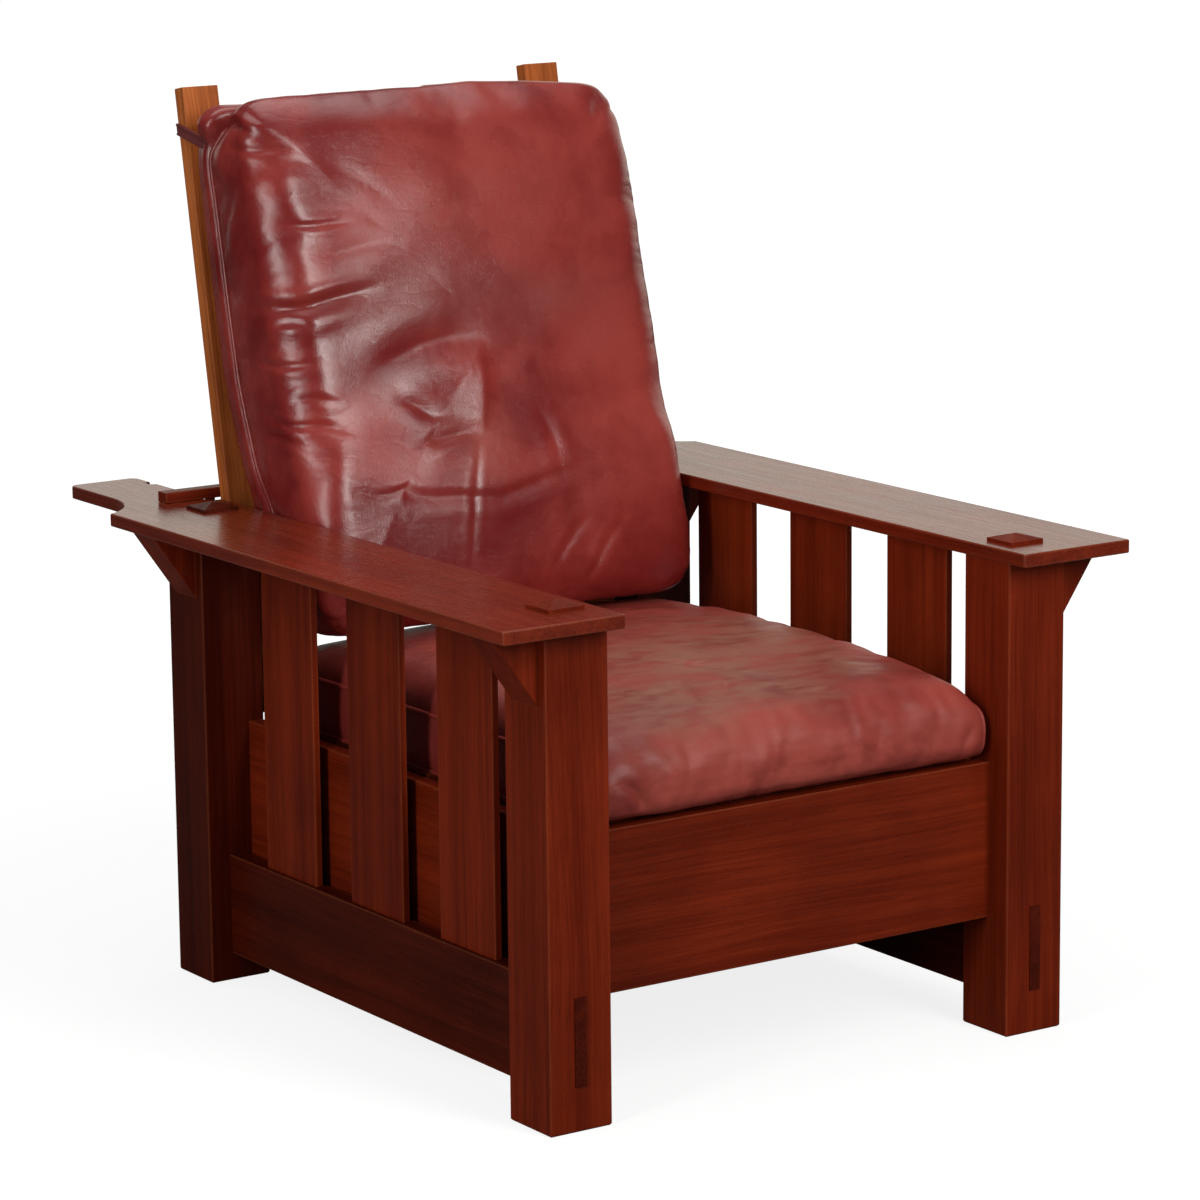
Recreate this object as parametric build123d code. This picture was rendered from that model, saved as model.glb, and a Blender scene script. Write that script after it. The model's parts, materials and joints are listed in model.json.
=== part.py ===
"""Mission reclining armchair: flat arms, slatted sides, loose leather cushions, a back that
swings on two pins and rests on a movable bar across the arm tails.

Millimetres. X runs across the chair, the front faces -Y, Z is up. The origin lies on the floor
under the middle of the arms' length and width. One STEP is written per piece.
"""
import os
from math import asin, cos, degrees, radians, sin, sqrt, tan

from build123d import *

# Whole frame
frame_width = 721.0
frame_depth = 830.0
arm_height = 580.0

# Legs
leg_section = 82.0
leg_edge_radius = 2.5
leg_foot_ease = 2.0
tenon_width = 47.0
tenon_depth = 45.0
cap_wall = 4.0
cap_rise = 6.0

# Arms
arm_thickness = 16.0
arm_outer_overhang = 72.5
arm_inner_overhang = 3.0
arm_front_overhang = 31.0
arm_shoulder_overhang = 8.0
arm_edge_radius = 2.0
arm_corner_radius = 4.0
tail_end_margin = 48.0
tail_outer_inset = 52.0
tail_inner_relief = 12.0
tail_relief_margin = 10.7
tail_corner_radius = 11.0
cove_radius = 98.0
notch_radius = 9.0
notch_count = 3

# Corbels
corbel_reach = 60.0
corbel_drop = 85.0
corbel_thickness = 52.0
corbel_setback = 13.0
corbel_edge_ease = 1.0

# Side rails and slats
rail_thickness = 22.0
rail_height = 125.0
rail_floor_gap = 33.5
rail_recess = 29.5
rail_tenon_thickness = 15.0
rail_tenon_low_shoulder = 18.5
rail_tenon_top_shoulder = 5.5
rail_tenon_proud = 1.5
rail_edge_radius = 1.5
slat_count = 3
slat_width = 115.0
slat_thickness = 9.0
slat_tenon_low = 12.0
slat_tenon_top = 6.0
slat_edge_radius = 1.2

# Seat box
apron_top = 325.0
apron_height = 187.0
apron_thickness = 22.0
apron_recess = 35.0
apron_edge_radius = 1.5
board_tenon = 20.0
board_tenon_shoulder_share = 0.25
seat_side_height = 184.0
seat_side_thickness = 19.0
seat_side_inset = 2.5
rear_rail_height = 160.0
rear_rail_setback = 30.0

# Seat deck
cleat_height = 25.0
cleat_depth = 22.0
seat_slat_count = 7
seat_slat_width = 68.0
seat_slat_thickness = 12.0
seat_slat_end_gap = 1.0
seat_slat_first_gap = 12.0
screw_shank = 4.0
screw_head = 8.0
screw_head_depth = 2.6
screw_length = 28.0
cleat_screws_per_side = 4
cleat_screw_end_margin = 60.0

# Back frame
back_lean = 10.0
back_travel = 25.0
pivot_above_rail = 47.0
pivot_inset = 32.0
pivot_pin_diameter = 12.0
pivot_pin_in_leg = 40.0
pivot_pin_in_post = 40.0
washer_diameter = 32.0
post_width = 50.0
post_thickness = 21.0
post_above_arm = 504.4
post_below_pivot = 27.0
post_arm_gap = 1.2
post_edge_radius = 2.0
post_end_radius = 1.0
back_slat_count = 4
back_slat_width = 60.0
back_slat_thickness = 10.0
back_slat_bow = 22.0
back_slat_bar_gap = 39.5
back_slat_top_margin = 69.0
back_slat_tenon = 14.0
back_rail_width = 60.0
back_rail_thickness = 14.0
back_rail_start = 120.0
back_slat_edge_radius = 1.5

# Support bar
bar_length = 696.0
bar_height = 13.0
bar_depth = 20.0
bar_edge_radius = 1.5
peg_diameter = 12.0
peg_in_bar = 8.0
peg_below_arm = 6.0
peg_tip_ease = 1.5

# Seat cushion
seat_cushion_side_gap = 5.5
seat_cushion_rear_gap = 33.0
seat_cushion_thickness = 124.0
seat_cushion_front_setback = 24.0
seat_cushion_base_radius = 14.0
seat_gusset_height = 66.0
seat_gusset_bulge = 3.0
seat_shoulder_width = 34.0
seat_top_rise = 16.0
seat_rest_share = 0.8965
seat_form_shares = (
    (0.000, 0.44, 0.22, 0.960),
    (0.009, 0.60, 0.13, 0.974),
    (0.026, 0.73, 0.05, 0.986),
    (0.055, 0.83, 0.01, 0.995),
    (0.100, 0.895, 0.00, 1.000),
    (0.170, 0.945, 0.00, 1.000),
    (0.270, 0.980, 0.00, 1.000),
    (0.380, 0.995, 0.00, 1.000),
    (0.490, 0.995, 0.00, 1.000),
    (0.600, 0.978, 0.00, 1.000),
    (0.712, 0.942, 0.00, 1.000),
    (0.810, 0.912, 0.00, 1.000),
    (0.905, 0.872, 0.00, 0.995),
    (1.000, 0.820, 0.00, 0.982),
)

# Back cushion
back_cushion_arm_gap = 1.5
back_cushion_top_drop = 25.0
back_cushion_thickness = 172.0
back_seam_inset = 11.0
back_edge_inset = 3.7
back_seam_width = 44.0
back_panel_swell = 22.0
back_panel_crown = 5.0
back_front_crown = 12.0
back_front_radius = 40.0
back_form_shares = (
    (0.000, 0.46, 1.12, 0.955, 1.00),
    (0.022, 0.40, 1.22, 0.985, 0.97),
    (0.080, 0.32, 1.28, 0.997, 0.80),
    (0.190, 0.22, 1.27, 1.000, 0.45),
    (0.330, 0.09, 1.17, 1.001, 0.10),
    (0.480, 0.02, 1.09, 1.012, 0.00),
    (0.640, 0.00, 1.03, 1.020, 0.00),
    (0.800, 0.00, 0.98, 1.020, 0.00),
    (0.915, 0.05, 0.90, 1.008, 0.00),
    (0.972, 0.14, 0.76, 0.985, 0.00),
    (1.000, 0.28, 0.60, 0.930, 0.00),
)

# Strap loops
strap_thickness = 2.0
strap_width = 15.0
strap_top_drop = 57.0
strap_fall = 26.0
strap_reach = 40.0

# Clearances shared by all pieces
joint_clearance = 0.1
soft_clearance = 0.4
running_clearance = 0.3
pin_clearance = 0.05
overrun = 5.0

# The pivot, and where the posts' rear faces cross the top of the bar, upright and fully reclined
apron_bottom = apron_top - apron_height
rear_rail_top = apron_bottom + rear_rail_height
pivot_height = rear_rail_top + pivot_above_rail
bar_bottom = arm_height + running_clearance
bar_top = bar_bottom + bar_height
contact_rise = bar_top - pivot_height
back_full_lean = back_lean + back_travel


def contact_reach(lean):
    """How far behind the pivot the posts' rear faces are at the bar's top, for a lean in degrees."""
    return contact_rise * tan(radians(lean)) + post_thickness / 2 / cos(radians(lean))


bar_reach = contact_reach(back_lean) + running_clearance
bar_travel = contact_reach(back_full_lean) - contact_reach(back_lean)
bar_ratio = bar_travel / radians(back_travel)
peg_reach = bar_reach + bar_depth / 2
tail_reach = peg_reach + bar_travel + tail_end_margin - pivot_inset

# Places worked out from the sizes
arm_length = arm_front_overhang + frame_depth + tail_reach
leg_outer_x = frame_width / 2
leg_inner_x = leg_outer_x - leg_section
leg_centre_x = leg_outer_x - leg_section / 2
front_y = -arm_length / 2 + arm_front_overhang
rear_y = front_y + frame_depth
front_leg_back_y = front_y + leg_section
rear_leg_front_y = rear_y - leg_section
arm_underside = arm_height - arm_thickness
arm_inner_x = leg_inner_x - arm_inner_overhang
arm_outer_x = leg_outer_x + arm_outer_overhang
shoulder_y = rear_y + arm_shoulder_overhang
tail_end_y = rear_y + tail_reach
tail_inner_x = arm_inner_x + tail_inner_relief
tail_outer_x = arm_outer_x - tail_outer_inset

rail_outer_x = leg_outer_x - rail_recess
rail_centre_x = rail_outer_x - rail_thickness / 2
rail_top = rail_floor_gap + rail_height
apron_front_y = front_y + apron_recess
apron_back_y = apron_front_y + apron_thickness
seat_side_inner_x = leg_inner_x + seat_side_inset
seat_side_outer_x = seat_side_inner_x + seat_side_thickness
rear_rail_back_y = rear_y - rear_rail_setback
rear_rail_front_y = rear_rail_back_y - apron_thickness
cleat_top = apron_top - seat_slat_thickness

pivot_y = rear_y - pivot_inset
bar_front_y = pivot_y + bar_reach
peg_y = pivot_y + peg_reach
peg_x = tail_inner_x - running_clearance - peg_diameter / 2
post_outer_x = arm_inner_x - post_arm_gap
post_inner_x = post_outer_x - post_width
post_above_pivot = (arm_height - pivot_height) / cos(radians(back_lean)) + post_above_arm
bar_along_post = (contact_rise / cos(radians(back_full_lean))
                  + post_thickness / 2 * tan(radians(back_full_lean)))
back_slat_first = bar_along_post + back_slat_bar_gap
back_slat_last = post_above_pivot - back_slat_top_margin - back_slat_width

seat_cushion_width = 2 * (leg_inner_x - seat_cushion_side_gap)
seat_cushion_front_y = front_y + seat_cushion_front_setback
seat_cushion_depth = rear_leg_front_y - seat_cushion_rear_gap - seat_cushion_front_y
seat_base = apron_top + soft_clearance
back_foot = seat_base + seat_cushion_thickness * seat_rest_share + soft_clearance
back_cushion_width = 2 * (arm_inner_x - back_cushion_arm_gap)
back_cushion_start = (back_foot - pivot_height) / cos(radians(back_lean))
back_cushion_length = post_above_pivot - back_cushion_top_drop - back_cushion_start


def block(x0, x1, y0, y1, z0, z1):
    """A box between two corners."""
    size = (x1 - x0, y1 - y0, z1 - z0)
    middle = ((x0 + x1) / 2, (y0 + y1) / 2, (z0 + z1) / 2)
    return Pos(*middle) * Box(*size)


def grown(x0, x1, y0, y1, z0, z1):
    """The hole that a tenon of these corners needs, larger by the joint clearance."""
    c = joint_clearance
    return block(x0 - c, x1 + c, y0 - c, y1 + c, z0 - c, z1 + c)


def mirrored(solid):
    """The same piece on the other side of the chair."""
    return mirror(solid, about=Plane.YZ)


def eased(solid, axis, radius):
    """Round the long edges of a piece that run along one axis."""
    return fillet(solid.edges().filter_by(axis), radius)


# Tenons and the mortises that take them
def rail_tenon_corners(at_front):
    """Corners of one through tenon of the right side rail."""
    x0 = rail_centre_x - rail_tenon_thickness / 2
    x1 = rail_centre_x + rail_tenon_thickness / 2
    z0 = rail_floor_gap + rail_tenon_low_shoulder
    z1 = rail_top - rail_tenon_top_shoulder
    if at_front:
        return (x0, x1, front_y - rail_tenon_proud, front_leg_back_y, z0, z1)
    return (x0, x1, rear_leg_front_y, rear_y + rail_tenon_proud, z0, z1)


def seat_side_tenon_corners(at_front):
    """Corners of one stub tenon of the right seat box side."""
    z0 = apron_bottom + seat_side_thickness
    z1 = apron_bottom + seat_side_height - seat_side_thickness
    x0 = seat_side_inner_x + seat_side_thickness * board_tenon_shoulder_share
    x1 = seat_side_outer_x - seat_side_thickness * board_tenon_shoulder_share
    if at_front:
        return (x0, x1, front_leg_back_y - board_tenon, front_leg_back_y, z0, z1)
    return (x0, x1, rear_leg_front_y, rear_leg_front_y + board_tenon, z0, z1)


def apron_tenon_corners():
    """Corners of the right stub tenon of the front apron."""
    y0 = apron_front_y + apron_thickness * board_tenon_shoulder_share
    y1 = apron_back_y - apron_thickness * board_tenon_shoulder_share
    z0 = apron_bottom + apron_thickness
    z1 = apron_top - apron_thickness
    return (leg_inner_x, leg_inner_x + board_tenon, y0, y1, z0, z1)


def rear_rail_tenon_corners():
    """Corners of the right stub tenon of the rear seat rail."""
    y0 = rear_rail_front_y + apron_thickness * board_tenon_shoulder_share
    y1 = rear_rail_back_y - apron_thickness * board_tenon_shoulder_share
    z0 = apron_bottom + apron_thickness
    z1 = rear_rail_top - apron_thickness
    return (leg_inner_x, leg_inner_x + board_tenon, y0, y1, z0, z1)


# Legs
def cap():
    """Low pyramid over the tenon, with its base on the plane Z = 0."""
    half_x = tenon_width / 2
    half_y = tenon_depth / 2
    along_y = Plane.XZ * make_face(Polyline((-half_x, 0), (half_x, 0), (0, cap_rise), close=True))
    along_x = Plane.YZ * make_face(Polyline((-half_y, 0), (half_y, 0), (0, cap_rise), close=True))
    ridge_y = extrude(along_y, amount=half_y, both=True)
    ridge_x = extrude(along_x, amount=half_x, both=True)
    return ridge_y & ridge_x


def leg(centre_y):
    """A right leg with its tenon and cap, before its mortises are cut."""
    half = leg_section / 2
    post = block(leg_inner_x, leg_outer_x, centre_y - half, centre_y + half, 0, arm_underside)
    post = eased(post, Axis.Z, leg_edge_radius)
    post = chamfer(post.edges().group_by(Axis.Z)[0], leg_foot_ease)
    tenon = block(leg_centre_x - tenon_width / 2, leg_centre_x + tenon_width / 2,
                  centre_y - tenon_depth / 2, centre_y + tenon_depth / 2,
                  arm_underside, arm_height + cap_wall)
    return post + tenon + Pos(leg_centre_x, centre_y, arm_height + cap_wall) * cap()


def front_leg():
    """The right front leg, mortised for the rail, the apron and the seat box side."""
    solid = leg(front_y + leg_section / 2)
    solid -= grown(*rail_tenon_corners(True))
    solid -= grown(*apron_tenon_corners())
    return solid - grown(*seat_side_tenon_corners(True))


def rear_leg():
    """The right rear leg, mortised for its rails and bored for the pivot pin."""
    solid = leg(rear_y - leg_section / 2)
    solid -= grown(*rail_tenon_corners(False))
    solid -= grown(*rear_rail_tenon_corners())
    solid -= grown(*seat_side_tenon_corners(False))
    bore = Cylinder(pivot_pin_diameter / 2 + pin_clearance, pivot_pin_in_leg + overrun)
    middle_x = leg_inner_x + (pivot_pin_in_leg - overrun) / 2
    return solid - Pos(middle_x, pivot_y, pivot_height) * Rot(0, 90, 0) * bore


# Arms
def arm_outline():
    """Plan of the right arm: wide part, cove, relieved tail and its peg notches."""
    cove_y = shoulder_y + sqrt(cove_radius ** 2 - (cove_radius - tail_outer_inset) ** 2)
    cove = Pos(tail_outer_x + cove_radius, cove_y) * Circle(cove_radius)
    relief_y = peg_y - notch_radius - tail_relief_margin
    wide = make_face(Polyline((arm_inner_x, -arm_length / 2), (arm_outer_x, -arm_length / 2),
                              (arm_outer_x, cove_y), (arm_inner_x, cove_y), close=True))
    tail = make_face(Polyline((tail_inner_x, relief_y), (tail_outer_x, relief_y),
                              (tail_outer_x, tail_end_y), (tail_inner_x, tail_end_y), close=True))
    relief = make_face(Polyline((arm_inner_x - overrun, relief_y), (tail_inner_x, relief_y),
                                (tail_inner_x, tail_end_y), (arm_inner_x - overrun, tail_end_y),
                                close=True))
    plan = wide - cove - relief + tail
    front = [v for v in plan.vertices() if v.Y < front_y]
    plan = fillet(ShapeList(front), arm_corner_radius)
    rear = [v for v in plan.vertices() if v.Y > tail_end_y - overrun]
    plan = fillet(ShapeList(rear), tail_corner_radius)
    for step in range(notch_count):
        place = peg_y + bar_travel * step / (notch_count - 1)
        plan -= Pos(tail_inner_x, place) * Circle(notch_radius)
    return plan


def arm():
    """The right arm with eased rims, mortised for the leg tenons and slotted for the slats."""
    solid = extrude(Pos(0, 0, arm_underside) * arm_outline(), amount=arm_thickness)
    rims = solid.faces().sort_by(Axis.Z)
    solid = fillet(rims[-1].outer_wire().edges() + rims[0].outer_wire().edges(), arm_edge_radius)
    for centre_y in (front_y + leg_section / 2, rear_y - leg_section / 2):
        solid -= grown(leg_centre_x - tenon_width / 2, leg_centre_x + tenon_width / 2,
                       centre_y - tenon_depth / 2, centre_y + tenon_depth / 2,
                       arm_underside - overrun, arm_height + overrun)
    for index in range(slat_count):
        y0, y1 = slat_span(index)
        solid -= grown(rail_centre_x - slat_thickness / 2, rail_centre_x + slat_thickness / 2,
                       y0, y1, arm_underside - overrun, arm_underside + slat_tenon_top)
    return solid


# Corbels
def corbel(place_y):
    """A right corbel whose front face stands at place_y, against the leg and under the arm."""
    outline = make_face(Polyline((leg_outer_x, arm_underside),
                                 (leg_outer_x + corbel_reach, arm_underside),
                                 (leg_outer_x, arm_underside - corbel_drop), close=True))
    solid = extrude(Plane.XZ * outline, amount=-corbel_thickness)
    slanted = solid.edges().sort_by(SortBy.LENGTH)[-2:]
    return Pos(0, place_y, 0) * chamfer(slanted, corbel_edge_ease)


# Side rails and slats
def side_rail():
    """The right side rail with its through tenons and the mortises for the slats."""
    solid = block(rail_outer_x - rail_thickness, rail_outer_x, front_leg_back_y, rear_leg_front_y,
                  rail_floor_gap, rail_top)
    solid = eased(solid, Axis.Y, rail_edge_radius)
    solid += block(*rail_tenon_corners(True))
    solid += block(*rail_tenon_corners(False))
    for index in range(slat_count):
        y0, y1 = slat_span(index)
        solid -= grown(rail_centre_x - slat_thickness / 2, rail_centre_x + slat_thickness / 2,
                       y0, y1, rail_top - slat_tenon_low, rail_top + overrun)
    return solid


def slat_span(index):
    """Front and rear Y of one side slat, with equal gaps along the rail."""
    room = rear_leg_front_y - front_leg_back_y
    gap = (room - slat_count * slat_width) / (slat_count + 1)
    y0 = front_leg_back_y + gap + index * (slat_width + gap)
    return y0, y0 + slat_width


def side_slat(index):
    """One slat of the right side, let into the rail and the arm."""
    y0, y1 = slat_span(index)
    solid = block(rail_centre_x - slat_thickness / 2, rail_centre_x + slat_thickness / 2, y0, y1,
                  rail_top - slat_tenon_low, arm_underside + slat_tenon_top)
    return eased(solid, Axis.Z, slat_edge_radius)


# Seat box
def front_apron():
    """The board across the front, recessed between the front legs."""
    solid = block(-leg_inner_x, leg_inner_x, apron_front_y, apron_back_y, apron_bottom, apron_top)
    solid = eased(solid, Axis.X, apron_edge_radius)
    tenon = block(*apron_tenon_corners())
    return solid + tenon + mirrored(tenon)


def rear_seat_rail():
    """The board between the rear legs, below the back's posts."""
    solid = block(-leg_inner_x, leg_inner_x, rear_rail_front_y, rear_rail_back_y,
                  apron_bottom, rear_rail_top)
    solid = eased(solid, Axis.X, apron_edge_radius)
    tenon = block(*rear_rail_tenon_corners())
    return solid + tenon + mirrored(tenon)


def seat_side():
    """The right side board of the seat box, between the legs and inboard of the slats."""
    solid = block(seat_side_inner_x, seat_side_outer_x, front_leg_back_y, rear_leg_front_y,
                  apron_bottom, apron_bottom + seat_side_height)
    solid = eased(solid, Axis.Y, apron_edge_radius)
    solid += block(*seat_side_tenon_corners(True)) + block(*seat_side_tenon_corners(False))
    for place in cleat_screw_places():
        solid -= place * screw_hole()
    return solid


# Seat deck
def screw():
    """A countersunk wood screw, its head flush with Z = 0 and its tip below."""
    shank = Cylinder(screw_shank / 2, screw_length, align=(Align.CENTER, Align.CENTER, Align.MAX))
    head = Cone(screw_shank / 2, screw_head / 2, screw_head_depth,
                align=(Align.CENTER, Align.CENTER, Align.MAX))
    return shank + head


def screw_hole():
    """The countersunk hole that the screw fills, wider by the pin clearance."""
    shank = Cylinder(screw_shank / 2 + pin_clearance, screw_length + pin_clearance,
                     align=(Align.CENTER, Align.CENTER, Align.MAX))
    head = Cone(screw_shank / 2 + pin_clearance, screw_head / 2 + pin_clearance, screw_head_depth,
                align=(Align.CENTER, Align.CENTER, Align.MAX))
    return shank + head


def cleat_screw_places():
    """Where the screws go through the right cleat into the seat box side."""
    start = front_leg_back_y + cleat_screw_end_margin
    run = rear_leg_front_y - cleat_screw_end_margin - start
    face_x = seat_side_inner_x - cleat_depth
    height = cleat_top - cleat_height / 2
    return [Pos(face_x, start + run * k / (cleat_screws_per_side - 1), height) * Rot(0, -90, 0)
            for k in range(cleat_screws_per_side)]


def seat_slat_span(index):
    """Front and rear Y of one cross slat of the deck."""
    start = apron_back_y + seat_slat_first_gap
    run = rear_leg_front_y - start
    pitch = (run - seat_slat_width) / (seat_slat_count - 1)
    return start + pitch * index, start + pitch * index + seat_slat_width


def seat_slat_screw_places():
    """Where the screws go down through the slats' right ends into the cleat."""
    middle_x = seat_side_inner_x - cleat_depth / 2
    return [Pos(middle_x, sum(seat_slat_span(k)) / 2, apron_top) for k in range(seat_slat_count)]


def seat_cleat():
    """The right cleat, screwed to the seat box side, that carries the slats."""
    solid = block(seat_side_inner_x - cleat_depth, seat_side_inner_x, front_leg_back_y,
                  rear_leg_front_y, cleat_top - cleat_height, cleat_top)
    for place in cleat_screw_places() + seat_slat_screw_places():
        solid -= place * screw_hole()
    return solid


def seat_slat(index):
    """One cross slat of the deck."""
    reach = leg_inner_x - seat_slat_end_gap
    y0, y1 = seat_slat_span(index)
    solid = block(-reach, reach, y0, y1, cleat_top, apron_top)
    solid = eased(solid, Axis.X, slat_edge_radius)
    hole = seat_slat_screw_places()[index] * screw_hole()
    return solid - hole - mirrored(hole)


def both_sides(places):
    """Screws at places on the right, and their mirror images."""
    right = [place * screw() for place in places]
    return Compound(children=right + [mirrored(s) for s in right])


# Back frame, modelled with the post upright: X across, Y to the rear, Z along the post
back_place = Pos(0, pivot_y, pivot_height) * Rot(-back_lean, 0, 0)


def bowed_band(section, index, room):
    """A section carried round the bow at one slat's height, longer at each end by room."""
    half = post_inner_x + back_slat_tenon
    radius = (half ** 2 + back_slat_bow ** 2) / back_slat_bow / 2
    half_angle = degrees(asin(half / radius) + room / radius)
    pitch = (back_slat_last - back_slat_first) / (back_slat_count - 1)
    middle_z = back_slat_first + index * pitch + back_slat_width / 2
    middle_y = radius + back_slat_thickness / 2
    band = revolve(Plane.YZ * Pos(middle_y, middle_z) * section, axis=Axis.Z,
                   revolution_arc=2 * half_angle)
    centre_y = back_slat_bow - middle_y
    return Pos(0, centre_y, 0) * Rot(0, 0, -half_angle) * band


def bowed_slat(index):
    """One bowed back slat."""
    section = RectangleRounded(back_slat_thickness, back_slat_width, back_slat_edge_radius)
    return bowed_band(section, index, 0)


def bowed_mortise(index):
    """The hole for a bowed slat's tenon, larger all round by the joint clearance."""
    section = Rectangle(back_slat_thickness + 2 * joint_clearance,
                        back_slat_width + 2 * joint_clearance)
    return bowed_band(section, index, joint_clearance)


def back_rail():
    """The straight lower rail of the back."""
    reach = post_inner_x + back_slat_tenon
    half = back_rail_thickness / 2
    solid = block(-reach, reach, -half, half, back_rail_start, back_rail_start + back_rail_width)
    return eased(solid, Axis.X, back_slat_edge_radius)


def back_post():
    """The right post with its mortises and pivot bore."""
    half = post_thickness / 2
    solid = block(post_inner_x, post_outer_x, -half, half, -post_below_pivot, post_above_pivot)
    solid = eased(solid, Axis.Z, post_edge_radius)
    solid = fillet(solid.edges().group_by(Axis.Z)[-1], post_end_radius)
    for index in range(back_slat_count):
        solid -= bowed_mortise(index)
    rail_half = back_rail_thickness / 2
    solid -= grown(post_inner_x - overrun, post_inner_x + back_slat_tenon, -rail_half, rail_half,
                   back_rail_start, back_rail_start + back_rail_width)
    bore = Cylinder(pivot_pin_diameter / 2 + pin_clearance, pivot_pin_in_post + overrun)
    middle_x = post_outer_x - (pivot_pin_in_post - overrun) / 2
    return solid - Pos(middle_x, 0, 0) * Rot(0, 90, 0) * bore


def pivot_pin():
    """The right pin: held in the leg, turning in the post."""
    tip = running_clearance
    x0 = post_outer_x - pivot_pin_in_post + tip
    x1 = leg_inner_x + pivot_pin_in_leg
    pin = Cylinder(pivot_pin_diameter / 2, x1 - x0)
    return Pos((x0 + x1) / 2, pivot_y, pivot_height) * Rot(0, 90, 0) * pin


def pivot_washer():
    """The right washer that keeps the post off the leg."""
    x0 = post_outer_x + running_clearance
    ring = Cylinder(washer_diameter / 2, leg_inner_x - x0)
    ring -= Cylinder(pivot_pin_diameter / 2 + pin_clearance, leg_inner_x - x0 + overrun)
    return Pos((x0 + leg_inner_x) / 2, pivot_y, pivot_height) * Rot(0, 90, 0) * ring


# Support bar
def support_bar():
    """The bar across the arm tails that the posts lean on."""
    solid = block(-bar_length / 2, bar_length / 2, bar_front_y, bar_front_y + bar_depth,
                  bar_bottom, bar_top)
    solid = eased(solid, Axis.X, bar_edge_radius)
    hole = Cylinder(peg_diameter / 2 + pin_clearance, peg_in_bar + overrun,
                    align=(Align.CENTER, Align.CENTER, Align.MAX))
    hole = Pos(peg_x, peg_y, bar_bottom + peg_in_bar) * hole
    return solid - hole - mirrored(hole)


def support_bar_pegs():
    """The two pegs under the bar, hanging just inside the arm tails."""
    length = peg_in_bar + running_clearance + arm_thickness + peg_below_arm
    peg = Cylinder(peg_diameter / 2, length, align=(Align.CENTER, Align.CENTER, Align.MAX))
    peg = chamfer(peg.edges().group_by(Axis.Z)[0], peg_tip_ease)
    peg = Pos(peg_x, peg_y, bar_bottom + peg_in_bar) * peg
    return Compound(children=[peg, mirrored(peg)])


# Cushions
def corner_arc(start, end, corner):
    """A quarter-like arc from start to end that bulges towards corner."""
    chord_x = (start[0] + end[0]) / 2
    chord_y = (start[1] + end[1]) / 2
    bulge = sqrt(2) - 1
    return ThreePointArc(start, (chord_x + (corner[0] - chord_x) * bulge,
                                 chord_y + (corner[1] - chord_y) * bulge), end)


def flipped(point):
    """The mirror image of an outline point."""
    return (-point[0], point[1])


def seat_section(along_share, top_share, lift_share, width_share):
    """One cross-section of the seat cushion, from its flat base to its crown."""
    half = seat_cushion_width / 2 * width_share - seat_gusset_bulge
    base = seat_cushion_thickness * lift_share
    crown = seat_cushion_thickness * top_share
    height = crown - base
    slim = height / seat_cushion_thickness
    radius = seat_cushion_base_radius * slim
    welt = base + seat_gusset_height * slim
    shoulder = (half - seat_shoulder_width * slim, crown - seat_top_rise * slim)
    low = (half - radius, base)
    side = (half, base + radius)
    seam = (half, welt)
    outline = Line(flipped(low), low)
    outline += corner_arc(low, side, (half, base))
    outline += ThreePointArc(side, (half + seat_gusset_bulge, (side[1] + welt) / 2), seam)
    outline += corner_arc(seam, shoulder, (half, shoulder[1]))
    outline += ThreePointArc(shoulder, (0, crown), flipped(shoulder))
    outline += corner_arc(flipped(shoulder), flipped(seam), (-half, shoulder[1]))
    outline += ThreePointArc(flipped(seam), (-half - seat_gusset_bulge, (side[1] + welt) / 2),
                             flipped(side))
    outline += corner_arc(flipped(side), flipped(low), (-half, base))
    place = Plane(origin=(0, along_share * seat_cushion_depth, 0), x_dir=(1, 0, 0),
                  z_dir=(0, -1, 0))
    return place * make_face(outline)


def seat_cushion():
    """The seat cushion: crowned top that rolls over the front, bulging gussets, flat base."""
    form = loft([seat_section(*row) for row in seat_form_shares])
    form -= block(-seat_cushion_width, seat_cushion_width, -overrun,
                  seat_cushion_depth + overrun, -seat_cushion_thickness, 0)
    return Pos(0, seat_cushion_front_y, seat_base) * form


def back_section(along_share, back_share, front_share, width_share, level_share):
    """One cross-section of the back cushion, square to the post or level near the seat."""
    half = back_cushion_width / 2 * width_share
    seam_half = half - back_seam_inset
    back = post_thickness / 2 + soft_clearance + back_cushion_thickness * back_share
    front = back_cushion_thickness * front_share
    depth = (front - back) / back_cushion_thickness
    swell = back_panel_swell * depth
    crown = back_panel_crown * depth
    radius = back_front_radius * depth
    seam = (seam_half, back + crown + swell)
    rear = (seam_half - back_seam_width * depth, back + crown)
    edge = (half - back_edge_inset, front - radius)
    face = (edge[0] - radius, front)
    middle = (half, (seam[1] + edge[1]) / 2)
    outline = ThreePointArc(flipped(rear), (0, back), rear)
    outline += corner_arc(rear, seam, (seam_half, rear[1]))
    outline += ThreePointArc(seam, middle, edge)
    outline += corner_arc(edge, face, (edge[0], front))
    outline += ThreePointArc(face, (0, front + back_front_crown * depth), flipped(face))
    outline += corner_arc(flipped(face), flipped(edge), (-edge[0], front))
    outline += ThreePointArc(flipped(edge), flipped(middle), flipped(seam))
    outline += corner_arc(flipped(seam), flipped(rear), (-seam_half, rear[1]))
    tilt = radians(back_lean * level_share)
    place = Plane(origin=(0, 0, back_cushion_start + along_share * back_cushion_length),
                  x_dir=(-1, 0, 0), z_dir=(0, -sin(tilt), cos(tilt)))
    return place * make_face(outline)


def back_cushion():
    """The back cushion: full face, seam round the rear panel, foot pushed out on the seat."""
    return loft([back_section(*row) for row in back_form_shares])


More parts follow.
